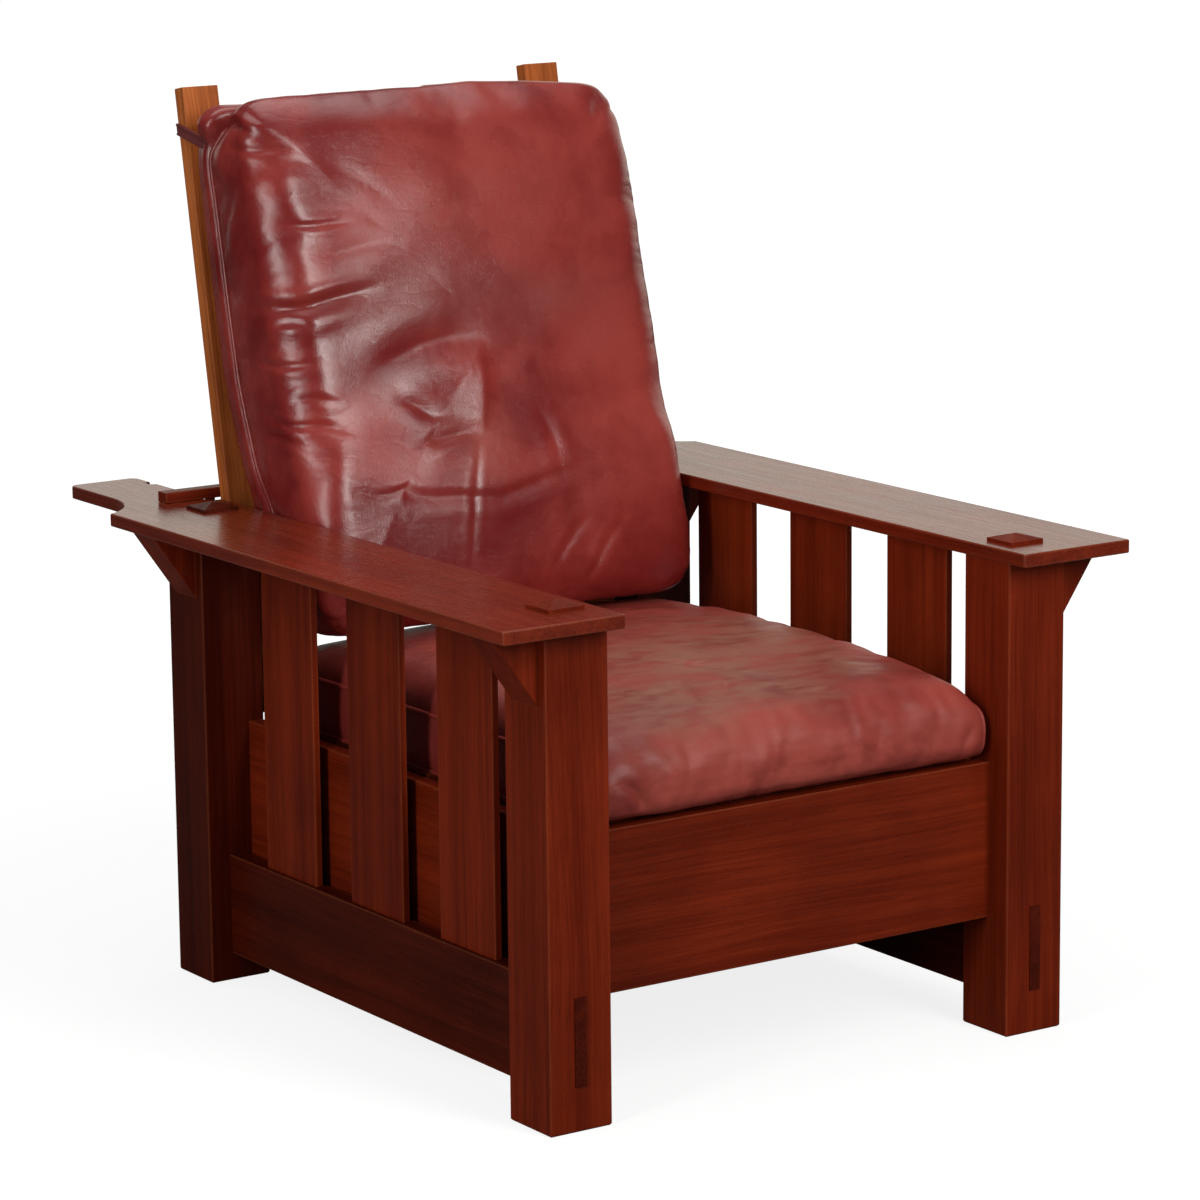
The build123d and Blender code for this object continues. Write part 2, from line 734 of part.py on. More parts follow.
def back_strap():
    """The right strap loop: round the post's outer side and rear, down to the cushion."""
    rear = post_thickness / 2 + soft_clearance
    outer = post_outer_x + soft_clearance
    inner = post_inner_x - soft_clearance
    low = post_above_pivot - strap_top_drop
    high = low + strap_width

    def strip(x0, reach):
        fall = strap_fall * (reach + rear) / (strap_reach + rear)
        side = make_face(Polyline((rear + strap_thickness, low), (rear + strap_thickness, high),
                                  (rear, high), (-reach, high - fall), (-reach, low - fall),
                                  (rear, low), close=True))
        return Pos(x0, 0, 0) * extrude(Plane.YZ * side, amount=strap_thickness)

    band = block(inner - strap_thickness, outer + strap_thickness, rear, rear + strap_thickness,
                 low, high)
    front = post_thickness / 2 - soft_clearance
    return band + strip(outer, strap_reach) + strip(inner - strap_thickness, front)


def pieces():
    """Every piece of the chair by name."""
    made = {}

    def pair(name, right):
        made[name + "_right"] = right
        made[name + "_left"] = mirrored(right)

    pair("leg_front", front_leg())
    pair("leg_rear", rear_leg())
    pair("arm", arm())
    pair("corbel_front", corbel(front_y + corbel_setback))
    pair("corbel_rear", corbel(rear_leg_front_y + corbel_setback))
    pair("side_rail", side_rail())
    for index in range(slat_count):
        right = side_slat(index)
        made[f"side_slat_right_{index + 1}"] = right
        made[f"side_slat_left_{index + 1}"] = mirrored(right)
    made["front_apron"] = front_apron()
    made["rear_seat_rail"] = rear_seat_rail()
    pair("seat_side", seat_side())
    pair("seat_cleat", seat_cleat())
    made["seat_cleat_screws"] = both_sides(cleat_screw_places())
    for index in range(seat_slat_count):
        made[f"seat_slat_{index + 1}"] = seat_slat(index)
    made["seat_slat_screws"] = both_sides(seat_slat_screw_places())
    made["seat_cushion"] = seat_cushion()
    pair("pivot_pin", pivot_pin())
    pair("pivot_washer", pivot_washer())
    made["support_bar"] = support_bar()
    made["support_bar_pegs"] = support_bar_pegs()

    pair("back_post", back_place * back_post())
    made["back_rail"] = back_place * back_rail()
    for index in range(back_slat_count):
        made[f"back_slat_{index + 1}"] = back_place * bowed_slat(index)
    made["back_cushion"] = back_place * back_cushion()
    pair("back_strap", back_place * back_strap())
    return made


os.makedirs("parts", exist_ok=True)
for name, shape in pieces().items():
    shape.label = name
    export_step(shape, f"parts/{name}.step")
print(f"arm length {arm_length:.1f}, bar travel {bar_travel:.2f}, "
      f"bar ratio {bar_ratio / 1000:.5f} m/rad, pivot at y {pivot_y:.2f}, peg y {peg_y:.2f}")
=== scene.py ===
"""Mission reclining armchair: oiled oak, stuffed leather cushions, straps and a plain studio.

Everything is in metres in the chair's own frame: +X to the right as seen from the front, the front
faces -Y, +Z up. The back's own coordinates are across (X), ahead of the posts (n) and along the
posts from the pivot (u).
"""

import json
import logging
from dataclasses import dataclass, field
from enum import Enum
from math import cos, pi, radians, sin, tan

import bpy
import numpy as np
from mathutils import Euler, Matrix, Vector


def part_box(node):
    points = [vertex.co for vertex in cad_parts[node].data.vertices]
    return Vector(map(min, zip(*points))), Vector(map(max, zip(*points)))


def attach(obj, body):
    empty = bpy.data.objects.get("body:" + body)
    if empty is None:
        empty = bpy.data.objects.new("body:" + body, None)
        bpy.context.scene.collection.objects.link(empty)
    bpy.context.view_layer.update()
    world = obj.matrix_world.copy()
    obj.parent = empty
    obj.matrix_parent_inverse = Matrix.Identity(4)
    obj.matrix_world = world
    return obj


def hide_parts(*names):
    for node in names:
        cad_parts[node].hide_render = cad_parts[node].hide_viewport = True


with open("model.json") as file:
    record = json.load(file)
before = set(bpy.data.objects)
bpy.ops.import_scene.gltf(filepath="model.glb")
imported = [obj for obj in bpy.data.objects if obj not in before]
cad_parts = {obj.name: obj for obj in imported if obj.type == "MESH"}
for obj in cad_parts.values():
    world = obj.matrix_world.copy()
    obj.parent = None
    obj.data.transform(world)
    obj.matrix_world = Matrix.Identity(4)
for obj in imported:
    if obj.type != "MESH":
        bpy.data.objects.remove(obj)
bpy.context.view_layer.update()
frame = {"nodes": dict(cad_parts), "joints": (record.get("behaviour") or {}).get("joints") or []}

log = logging.getLogger("armchair")
MM = 0.001
LEAN = radians(10.0)
PIVOT = Vector(frame["joints"][0]["pos_m"])
Colour = tuple[float, float, float]
Line = tuple[tuple[float, ...], ...]
Sizes = tuple[float, ...]
Grids = tuple[np.ndarray, ...]
Socket = bpy.types.NodeSocket
Feed = Socket | float | Vector | tuple[float, ...] | list[float]
FLOAT, COLOUR, VECTOR = "NodeSocketFloat", "NodeSocketColor", "NodeSocketVector"

# Vertices closer than this are one
WELD = 1e-6
# Half the depth and half the length of a back post, square to its lean and along it
POST_HALF = (10.5 * MM, 385.0 * MM)


class Grain(Enum):
    """Direction in which a board's grain runs, as the turn that brings it upright."""

    UP = (0.0, 0.0, 0.0)
    ACROSS = (0.0, -90.0, 0.0)
    DEEP = (90.0, 0.0, 0.0)
    POST = (10.0, 0.0, 0.0)


class Side(Enum):
    """Side of the chair, as the sign of its X."""

    LEFT = -1.0
    RIGHT = 1.0


def smooth_step(values: np.ndarray, low: float, high: float) -> np.ndarray:
    """Share from 0 at low to 1 at high, level at both ends."""
    share = np.clip((values - low) / (high - low), 0.0, 1.0)
    return share * share * (3.0 - 2.0 * share)


def averaged(values: np.ndarray, window: np.ndarray) -> np.ndarray:
    """Moving average of a row of values, weighted by a window."""
    return np.convolve(values, window / window.sum(), mode="valid")


def running_length(line: np.ndarray) -> np.ndarray:
    """Length along a line of points up to each of them."""
    return np.concatenate(([0.0], np.cumsum(np.linalg.norm(np.diff(line, axis=0), axis=1))))


def smooth_table(places: Sizes, sizes: Sizes, values: np.ndarray) -> np.ndarray:
    """Reads a table of sizes at places through a short moving average, so that it has no corners.

    Args:
        places: Rising places of the table.
        sizes: Size at each place.
        values: Places to read at.

    Returns:
        The smoothed sizes.
    """
    fine = np.linspace(places[0], places[-1], 401)
    raw = np.interp(fine, places, sizes)
    return np.interp(values, fine, averaged(np.pad(raw, 21, mode="edge"), np.hanning(43)))


def even_run(points: Line, count: int, blur: int) -> np.ndarray:
    """An open line through points, rounded by a moving average and split into equal lengths.

    Args:
        points: Corners of the line.
        count: Number of points in the result.
        blur: Reach of the moving average, in steps of 1 mm.

    Returns:
        The even points, the first and last as given.
    """
    corners = np.array(points)
    length = running_length(corners)
    fine = np.linspace(0.0, length[-1], int(length[-1] / MM) + 2)
    line = np.stack([np.interp(fine, length, corners[:, k]) for k in range(2)], axis=1)
    blur = min(blur, len(line) // 3)
    window = np.hanning(2 * blur + 3)[1:-1]
    before = 2 * line[0] - line[blur:0:-1]
    after = 2 * line[-1] - line[-2:-blur - 2:-1]
    padded = np.concatenate((before, line, after))
    line = np.stack([averaged(padded[:, k], window) for k in range(2)], axis=1)
    length = running_length(line)
    even = np.linspace(0.0, length[-1], count)
    return np.stack([np.interp(even, length, line[:, k]) for k in range(2)], axis=1)


def soft_noise(x: np.ndarray, y: np.ndarray, scale: float, seed: int,
               octaves: int = 3) -> np.ndarray:
    """Smooth uneven field of about unit height over two coordinates.

    Formula: a sum of sine waves in seeded directions, each octave twice as fine and half as high.

    Args:
        x: First coordinate in metres.
        y: Second coordinate in metres.
        scale: Length of the longest wave in metres.
        seed: Seed of the directions and phases.
        octaves: Number of octaves.

    Returns:
        The field's value at each place.
    """
    draw = np.random.default_rng(seed)
    total = np.zeros_like(x)
    for octave in range(octaves):
        for _ in range(4):
            turn, phase = draw.uniform(0.0, 2.0 * pi, 2)
            pitch = 2.0 * pi * 2.0 ** octave / scale * draw.uniform(0.75, 1.3)
            total += np.sin((x * cos(turn) + y * sin(turn)) * pitch + phase) / (4.0 * 2.0 ** octave)
    return total


# Shader building
class Board:
    """One node tree with short ways to add and link its nodes."""

    def __init__(self, tree: bpy.types.NodeTree) -> None:
        """Keeps the tree."""
        self.tree = tree

    def feed(self, node: bpy.types.Node, feeds: dict[str | int, Feed]) -> bpy.types.Node:
        """Links or sets a node's inputs and gives the node back.

        Args:
            node: The node.
            feeds: Input socket name or number to a socket or a plain value.

        Returns:
            The node.
        """
        for key, value in feeds.items():
            if isinstance(value, Socket):
                self.tree.links.new(value, node.inputs[key])
            else:
                node.inputs[key].default_value = value
        return node

    def add(self, kind: str, feeds: dict[str | int, Feed] | None = None,
            **settings: object) -> bpy.types.Node:
        """Adds a node.

        Args:
            kind: Blender's node type.
            feeds: Input socket name or number to a socket or a plain value.
            **settings: Attributes of the node.

        Returns:
            The node.
        """
        node = self.tree.nodes.new(kind)
        for key, value in settings.items():
            setattr(node, key, value)
        return self.feed(node, feeds or {})

    def math(self, operation: str, *values: Feed, clamp: bool = False) -> Socket:
        """The result of one math operation on sockets or numbers."""
        return self.add("ShaderNodeMath", dict(enumerate(values)), operation=operation,
                        use_clamp=clamp).outputs[0]

    def vector(self, operation: str, first: Feed, second: Feed | None = None) -> Socket:
        """The vector result of one vector operation."""
        feeds = {0: first} if second is None else {0: first, 1: second}
        return self.add("ShaderNodeVectorMath", feeds, operation=operation).outputs["Vector"]

    def total(self, *pairs: tuple[Socket, float]) -> Socket:
        """Adds up sockets, each times its weight.

        Args:
            *pairs: (socket, weight) of each part.

        Returns:
            The sum.
        """
        parts = [self.math("MULTIPLY", socket, weight) for socket, weight in pairs]
        whole = parts[0]
        for part in parts[1:]:
            whole = self.math("ADD", whole, part)
        return whole

    def blend(self, share: Feed, first: Feed, second: Feed, blend_type: str = "MIX") -> Socket:
        """Colour mix of first and second by share."""
        node = self.add("ShaderNodeMix", data_type="RGBA", blend_type=blend_type)
        return self.feed(node, {0: share, 6: first, 7: second}).outputs[2]

    def noise(self, vector: Feed, scale: float, detail: float = 3.0,
              roughness: float = 0.5) -> Socket:
        """Value of a noise field over a vector."""
        return self.add("ShaderNodeTexNoise", {"Vector": vector, "Scale": scale, "Detail": detail,
                                               "Roughness": roughness}).outputs["Fac"]

    def ramp(self, value: Feed, low: float, high: float) -> Socket:
        """Smooth share of a value between low and high."""
        return self.add("ShaderNodeMapRange", {"Value": value, "From Min": low, "From Max": high},
                        interpolation_type="SMOOTHSTEP").outputs["Result"]

    def span(self, value: Feed, low: float, high: float, first: float, second: float) -> Socket:
        """A value carried straight from the range low to high onto first to second."""
        return self.add("ShaderNodeMapRange", {"Value": value, "From Min": low, "From Max": high,
                                               "To Min": first, "To Max": second}).outputs["Result"]


def new_group(name: str, inputs: tuple[tuple, ...],
              outputs: tuple[tuple, ...]) -> tuple[Board, dict[str, Socket], bpy.types.Node]:
    """Starts a shader node group.

    Args:
        name: Name of the group.
        inputs: (socket type, name, default) of each input.
        outputs: (socket type, name) of each output.

    Returns:
        The group's board, its input sockets by name, and its output node.
    """
    tree = bpy.data.node_groups.new(name, "ShaderNodeTree")
    for kind, label, default in inputs:
        socket = tree.interface.new_socket(label, in_out="INPUT", socket_type=kind)
        if default is not None:
            socket.default_value = default
    for kind, label in outputs:
        tree.interface.new_socket(label, in_out="OUTPUT", socket_type=kind)
    board = Board(tree)
    entry = board.add("NodeGroupInput")
    return board, {s.name: s for s in entry.outputs}, board.add("NodeGroupOutput")


def oak_grain_group() -> bpy.types.NodeTree:
    """Stained oak over centred board coordinates with the grain along Z: bands, fibres, pores.

    Returns:
        The group with outputs Colour, Height and Shine.
    """
    board, got, out = new_group(
        "oak_grain",
        ((VECTOR, "Vector", None), (COLOUR, "Dark", None), (COLOUR, "Light", None),
         (FLOAT, "Seed", 0.0)),
        ((COLOUR, "Colour"), (FLOAT, "Height"), (FLOAT, "Shine")))
    seed = got["Seed"]
    shift = board.add("ShaderNodeCombineXYZ", {0: seed, 1: board.math("MULTIPLY", seed, 1.7),
                                               2: board.math("MULTIPLY", seed, 0.6)}).outputs[0]
    place = board.vector("ADD", got["Vector"], shift)
    sway = board.noise(board.vector("MULTIPLY", place, (4.0, 4.0, 1.4)), 1.0, 2.0)
    bend = board.add("ShaderNodeCombineXYZ", {0: board.math("MULTIPLY", sway, 0.035),
                                              1: board.math("MULTIPLY", sway, 0.025)}).outputs[0]
    swayed = board.vector("ADD", place, bend)

    def along(cross: float, length: float, detail: float, roughness: float) -> Socket:
        """Noise drawn out along the grain, with its waves a metre in cross and in length."""
        drawn = board.vector("MULTIPLY", swayed, (cross, cross, length))
        return board.noise(drawn, 1.0, detail, roughness)

    band, ribbon = along(24.0, 0.7, 2.0, 0.5), along(90.0, 1.6, 3.0, 0.55)
    fibre, thread = along(320.0, 5.0, 3.0, 0.6), along(1050.0, 16.0, 2.0, 0.6)
    pore = board.ramp(along(1500.0, 50.0, 1.0, 0.5), 0.63, 0.72)
    streak = board.total((band, 0.30), (ribbon, 0.26), (fibre, 0.26), (thread, 0.18))
    tone = board.blend(board.ramp(streak, 0.37, 0.63), got["Dark"], got["Light"])
    cloud = board.noise(place, 6.0, 3.0, 0.6)
    dull, clear, pore_tone = (0.84, 0.82, 0.80), (1.08, 1.08, 1.08), (0.030, 0.005, 0.002)
    shade = board.blend(board.ramp(cloud, 0.32, 0.70), (*dull, 1.0), (*clear, 1.0))
    tone = board.blend(1.0, tone, shade, "MULTIPLY")
    tone = board.blend(board.math("MULTIPLY", pore, 0.35), tone, (*pore_tone, 1.0))
    height = board.total((thread, 0.5), (pore, -0.8), (fibre, 0.4))
    board.feed(out, {"Colour": tone, "Height": height, "Shine": board.ramp(fibre, 0.3, 0.75)})
    return board.tree


def edge_wear_group() -> bpy.types.NodeTree:
    """Mask of a board's long edges and corners, broken up by noise.

    The distance to an edge is the length of the two smallest distances to the board's faces.

    Returns:
        The group with output Worn.
    """
    board, got, out = new_group(
        "edge_wear",
        ((VECTOR, "Vector", None), (VECTOR, "Half size", None), (FLOAT, "Width", 0.003)),
        ((FLOAT, "Worn"),))
    gap = board.vector("SUBTRACT", got["Half size"], board.vector("ABSOLUTE", got["Vector"]))
    x, y, z = board.add("ShaderNodeSeparateXYZ", {0: gap}).outputs
    pairs = [board.math("SQRT", board.math("ADD", board.math("MULTIPLY", first, first),
                                           board.math("MULTIPLY", second, second)))
             for first, second in ((x, y), (y, z), (x, z))]
    nearest = board.math("MINIMUM", board.math("MINIMUM", pairs[0], pairs[1]), pairs[2])
    patchy = board.noise(got["Vector"], 38.0, 4.0, 0.65)
    uneven = board.math("ADD", 0.3, board.math("MULTIPLY", patchy, 1.5))
    reach = board.math("MULTIPLY", got["Width"], uneven)
    worn = board.math("SUBTRACT", 1.0, board.math("DIVIDE", nearest, reach), clamp=True)
    board.feed(out, {"Worn": worn})
    return board.tree


def leather_grain_group() -> bpy.types.NodeTree:
    """Fine hide grain: pebbles between creases, fine wrinkles and a slow unevenness.

    Returns:
        The group with outputs Height and Mottle.
    """
    board, got, out = new_group(
        "leather_grain", ((VECTOR, "Vector", None), (FLOAT, "Scale", 420.0)),
        ((FLOAT, "Height"), (FLOAT, "Mottle")))
    warp = board.add("ShaderNodeTexNoise", {"Vector": got["Vector"], "Scale": 60.0, "Detail": 2.0})
    moved = board.vector("MULTIPLY", warp.outputs["Color"], (0.004, 0.004, 0.004))
    place = board.vector("ADD", got["Vector"], moved)
    pebble = board.add("ShaderNodeTexVoronoi", {"Vector": place, "Scale": got["Scale"]},
                       feature="DISTANCE_TO_EDGE").outputs["Distance"]
    fine, middling, broad = (board.noise(place, scale, 4.0, 0.6) for scale in (900.0, 130.0, 26.0))
    drawn = board.noise(board.vector("MULTIPLY", place, (24.0, 34.0, 62.0)), 1.0, 1.0, 0.4)
    line = board.math("ABSOLUTE", board.math("SUBTRACT", drawn, 0.5))
    height = board.total((board.ramp(pebble, 0.0, 0.22), 0.35), (fine, 0.25), (middling, 0.6),
                         (broad, 1.3), (board.ramp(line, 0.0, 0.11), 0.45))
    board.feed(out, {"Height": height, "Mottle": board.noise(place, 9.0, 4.0, 0.55)})
    return board.tree


def wear_and_painted_light_patch_group() -> bpy.types.NodeTree:
    """Mask of one patch on the leather, for worn places and for painted shade and painted
    highlights: an ellipsoid with a ragged, faded rim.

    Returns:
        The group with output Worn.
    """
    board, got, out = new_group(
        "wear_and_painted_light_patch",
        ((VECTOR, "Vector", None), (VECTOR, "Centre", None), (VECTOR, "Reach", (1, 1, 1))),
        ((FLOAT, "Worn"),))
    away = board.vector("SUBTRACT", got["Vector"], got["Centre"])
    share = board.vector("DIVIDE", away, got["Reach"])
    length = board.add("ShaderNodeVectorMath", {0: share}, operation="LENGTH").outputs["Value"]
    ragged = board.math("SUBTRACT", board.noise(got["Vector"], 9.0, 2.0, 0.45), 0.5)
    edge = board.math("ADD", length, board.math("MULTIPLY", ragged, 1.3))
    board.feed(out, {"Worn": board.math("SUBTRACT", 1.0, board.ramp(edge, 0.1, 1.3))})
    return board.tree


class Groups:
    """The shared shader groups, each built once."""

    def __init__(self) -> None:
        """Builds the four groups."""
        self.oak = oak_grain_group()
        self.wear = edge_wear_group()
        self.hide = leather_grain_group()
        self.patch = wear_and_painted_light_patch_group()


def start_material(name: str) -> tuple[bpy.types.Material, Board, bpy.types.Node]:
    """A new node material with its board and its Principled shader.

    Args:
        name: Name of the material.

    Returns:
        The material, its board and its shader.
    """
    material = bpy.data.materials.new(name)
    material.use_nodes = True
    return material, Board(material.node_tree), material.node_tree.nodes["Principled BSDF"]


def grouped(board: Board, tree: bpy.types.NodeTree, feeds: dict[str, Feed]) -> bpy.types.Node:
    """Places a shader group in a board."""
    return board.feed(board.add("ShaderNodeGroup", node_tree=tree), feeds)


@dataclass(frozen=True)
class OakFinish:
    """Stained and rubbed oak: dark and light of the grain, colour of its worn edges, gloss."""

    dark: Colour = (0.125, 0.0105, 0.0022)
    light: Colour = (0.225, 0.0230, 0.0048)
    worn: Colour = (0.36, 0.100, 0.036)
    wear: float = 0.24
    wear_width: float = 2.6 * MM
    gloss_low: float = 0.34
    gloss_high: float = 0.48
    ior: float = 1.22
    coat: float = 0.0
    relief: float = 0.25 * MM

    def dress(self, node: bpy.types.Object, grain: Grain, seed: float, groups: Groups) -> None:
        """Gives one board its material.

        Args:
            node: The board.
            grain: Direction of its grain.
            seed: Offset of its pattern, different for each board.
            groups: The shared shader groups.
        """
        low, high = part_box(node.name)
        turn = Euler([radians(a) for a in grain.value]).to_matrix()
        half = Vector(abs(v) for v in turn @ ((high - low) / 2))
        if grain is Grain.POST:
            half = Vector(((high - low).x / 2, *POST_HALF))
        material, board, shader = start_material(f"oak_{node.name}")
        place = board.add("ShaderNodeTexCoord").outputs["Object"]
        away = board.vector("SUBTRACT", place, (low + high) / 2)
        vector = board.add("ShaderNodeMapping", {"Vector": away, "Rotation": [
            radians(a) for a in grain.value]}).outputs["Vector"]
        oak = grouped(board, groups.oak, {"Vector": vector, "Dark": (*self.dark, 1.0),
                                          "Light": (*self.light, 1.0), "Seed": seed})
        wear = grouped(board, groups.wear, {"Vector": vector, "Half size": half,
                                            "Width": self.wear_width})
        tone = board.blend(board.math("MULTIPLY", wear.outputs["Worn"], self.wear),
                           oak.outputs["Colour"], (*self.worn, 1.0))
        gloss = board.span(oak.outputs["Shine"], 0.0, 1.0, self.gloss_low, self.gloss_high)
        bump = board.add("ShaderNodeBump", {"Strength": 0.5, "Distance": self.relief,
                                            "Height": oak.outputs["Height"]})
        board.feed(shader, {"Base Color": tone, "Roughness": gloss, "IOR": self.ior,
                            "Normal": bump.outputs["Normal"], "Coat Weight": self.coat,
                            "Coat Roughness": 0.2})
        node.data.materials.clear()
        node.data.materials.append(material)


@dataclass(frozen=True)
class Patch:
    """One patch of tone on the leather: a worn place, painted shade or a painted highlight."""

    centre: tuple[float, float, float]
    reach: tuple[float, float, float]
    tone: Colour
    strength: float


@dataclass(frozen=True)
class LeatherFinish:
    """Dyed hide: deep and bright tones, mottling, patches, grain and gloss.

    The patches are worn places, with some painted shade and painted highlights. Streaks break up
    the
    patches: rub is their pitch along each axis, in waves a metre, and rub_low the least strength
    that they leave.
    """

    name: str
    deep: Colour
    bright: Colour
    patches: tuple[Patch, ...] = ()
    gloss_low: float = 0.30
    gloss_high: float = 0.50
    relief: float = 0.5 * MM
    pebble: float = 420.0
    ior: float = 1.45
    rub: Colour = (9.0, 9.0, 9.0)
    rub_low: float = 0.9

    def material(self, groups: Groups) -> bpy.types.Material:
        """Builds the material.

        Args:
            groups: The shared shader groups.

        Returns:
            The leather.
        """
        material, board, shader = start_material(self.name)
        place = board.add("ShaderNodeTexCoord").outputs["Object"]
        hide = grouped(board, groups.hide, {"Vector": place, "Scale": self.pebble})
        mottle = hide.outputs["Mottle"]
        tone = board.blend(board.ramp(mottle, 0.34, 0.66), (*self.deep, 1.0), (*self.bright, 1.0))
        drawn = board.noise(board.vector("MULTIPLY", place, self.rub), 1.0, 3.0, 0.55)
        streak = board.span(board.ramp(drawn, 0.36, 0.62), 0.0, 1.0, self.rub_low, 1.25)
        # Patches: worn places, and also painted shade and painted highlights
        for patch in self.patches:
            spot = grouped(board, groups.patch, {"Vector": place, "Centre": patch.centre,
                                                 "Reach": patch.reach})
            share = board.math("MULTIPLY", spot.outputs["Worn"], patch.strength)
            share = board.math("MULTIPLY", share, streak)
            tone = board.blend(share, tone, (*patch.tone, 1.0))
        gloss = board.span(mottle, 0.3, 0.7, self.gloss_low, self.gloss_high)
        bump = board.add("ShaderNodeBump", {"Strength": 0.35, "Distance": self.relief,
                                            "Height": hide.outputs["Height"]})
        board.feed(shader, {"Base Color": tone, "Roughness": gloss, "IOR": self.ior,
                            "Normal": bump.outputs["Normal"]})
        return material


MAUVE, TAN = (0.230, 0.040, 0.034), (0.320, 0.115, 0.075)
BACK_LEATHER = LeatherFinish(
    "back_leather", (0.185, 0.0105, 0.0100), (0.325, 0.0340, 0.0265),
    (Patch((-0.10, 0.175, 0.840), (0.17, 0.10, 0.055), MAUVE, 0.60),
     Patch((0.07, 0.175, 0.815), (0.20, 0.10, 0.050), MAUVE, 0.45),
     Patch((0.05, 0.220, 0.950), (0.24, 0.10, 0.110), (0.375, 0.050, 0.038), 0.50),
     Patch((0.20, 0.14, 0.700), (0.12, 0.12, 0.220), (0.400, 0.054, 0.040), 0.50),
     # Painted shade: a deep, dark patch low on the left of the face stands in for shade there
     Patch((-0.10, 0.10, 0.560), (0.22, 0.10, 0.080), (0.165, 0.010, 0.010), 0.55),
     # Painted highlight: a faint pale patch stands in for the sheen along a crease
     Patch((-0.05, 0.110, 0.660), (0.07, 0.08, 0.060), (0.420, 0.130, 0.100), 0.20)),
    0.21, 0.32, ior=1.66)
SEAT_LEATHER = LeatherFinish(
    "seat_leather", (0.215, 0.0250, 0.0195), (0.350, 0.0540, 0.0390),
    (Patch((-0.03, -0.28, 0.445), (0.22, 0.18, 0.08), TAN, 0.85),
     Patch((0.14, -0.20, 0.440), (0.14, 0.18, 0.08), TAN, 0.65),
     Patch((-0.10, -0.42, 0.440), (0.16, 0.10, 0.08), TAN, 0.60),
     # Painted light: a lighter patch on the nose's lower front stands in for light falling there
     Patch((0.0, -0.475, 0.355), (0.34, 0.05, 0.05), (0.480, 0.088, 0.064), 0.6)),
    0.36, 0.56, rub=(22.0, 55.0, 30.0), rub_low=0.25)
STRAP_LEATHER = LeatherFinish("strap_leather", (0.130, 0.018, 0.020), (0.190, 0.034, 0.034),
                              relief=0.3 * MM, pebble=600.0)


@dataclass(frozen=True)
class SteelFinish:
    """Plain dull steel of pins, washers and screws."""

    tone: Colour = (0.36, 0.35, 0.33)
    stain: Colour = (0.12, 0.085, 0.06)
    gloss_low: float = 0.28
    gloss_high: float = 0.5
    relief: float = 0.05 * MM

    def dress(self, node: bpy.types.Object) -> None:
        """Gives a fitting its turned and slightly stained steel.

        Args:
            node: The fitting.
        """
        material, board, shader = start_material(f"steel_{node.name}")
        place = board.add("ShaderNodeTexCoord").outputs["Object"]
        turned = board.noise(board.vector("MULTIPLY", place, (40.0, 900.0, 900.0)), 1.0, 3.0)
        spots = board.ramp(board.noise(place, 60.0, 4.0, 0.65), 0.4, 0.75)
        bump = board.add("ShaderNodeBump", {"Strength": 0.3, "Distance": self.relief,
                                            "Height": turned})
        gloss = board.span(turned, 0.0, 1.0, self.gloss_low, self.gloss_high)
        board.feed(shader, {"Base Color": board.blend(spots, (*self.tone, 1.0), (*self.stain, 1.0)),
                            "Roughness": gloss, "Normal": bump.outputs["Normal"], "Metallic": 1.0})
        node.data.materials.clear()
        node.data.materials.append(material)


# Mesh building
def grid_faces(rows: int, columns: int, closed: bool = False) -> np.ndarray:
    """Quads of a grid of rows by columns vertices, its columns joined round if closed.

    Args:
        rows: Rows of the grid.
        columns: Columns of the grid.
        closed: Whether the last column meets the first.

    Returns:
        Four vertex numbers for each quad.
    """
    row, column = np.meshgrid(np.arange(rows - 1), np.arange(columns if closed else columns - 1),
                              indexing="ij")
    after = (column + 1) % columns
    quads = np.stack((row * columns + column, row * columns + after,
                      (row + 1) * columns + after, (row + 1) * columns + column), axis=-1)
    return quads.reshape(-1, 4)


def outward(points: np.ndarray, faces: np.ndarray) -> np.ndarray:
    """Turns all quads of a closed mesh round if its signed volume is negative.

    Args:
        points: Vertices.
        faces: Quads of the closed mesh.

    Returns:
        The quads, facing outwards.
    """
    first, second, third, fourth = (points[faces[:, k]] for k in range(4))
    volume = np.einsum("ij,ij->i", first, np.cross(second, third)).sum()
    volume += np.einsum("ij,ij->i", first, np.cross(third, fourth)).sum()
    return faces if volume > 0 else faces[:, ::-1]


def weld_keys(points: np.ndarray) -> np.ndarray:
    """Whole numbers that are the same for vertices at one place."""
    return np.round(points / WELD).astype(np.int64)


def welded(points: np.ndarray, faces: np.ndarray) -> tuple[np.ndarray, np.ndarray]:
    """Merges vertices that lie at one place and turns the mesh outwards.

    Args:
        points: Vertices.
        faces: Quads.

    Returns:
        The merged vertices and their quads.
    """
    _, first, back = np.unique(weld_keys(points), axis=0, return_index=True, return_inverse=True)
    merged = back.reshape(-1)[faces]
    return points[first], outward(points[first], merged)


def face_lists(faces: np.ndarray) -> list[list[int]]:
    """Faces as lists: quads whose corners meet become triangles, and flat ones go.

    Args:
        faces: Quads as vertex numbers.

    Returns:
        One list for each face.
    """
    same = faces == np.roll(faces, -1, axis=1)
    repeats = same.sum(axis=1)
    thin = repeats == 1
    return faces[repeats == 0].tolist() + faces[thin][~same[thin]].reshape(-1, 3).tolist()


def mesh_object(name: str, points: np.ndarray, faces: np.ndarray) -> bpy.types.Object:
    """Makes a smooth mesh object from points and quads.

    Args:
        name: Name of the object.
        points: Vertices.
        faces: Quads.

    Returns:
        The object, linked to the scene.
    """
    mesh = bpy.data.meshes.new(name)
    mesh.from_pydata(points.tolist(), [], face_lists(faces))
    mesh.polygons.foreach_set("use_smooth", np.ones(len(mesh.polygons), bool))
    mesh.update()
    piece = bpy.data.objects.new(name, mesh)
    bpy.context.scene.collection.objects.link(piece)
    return piece


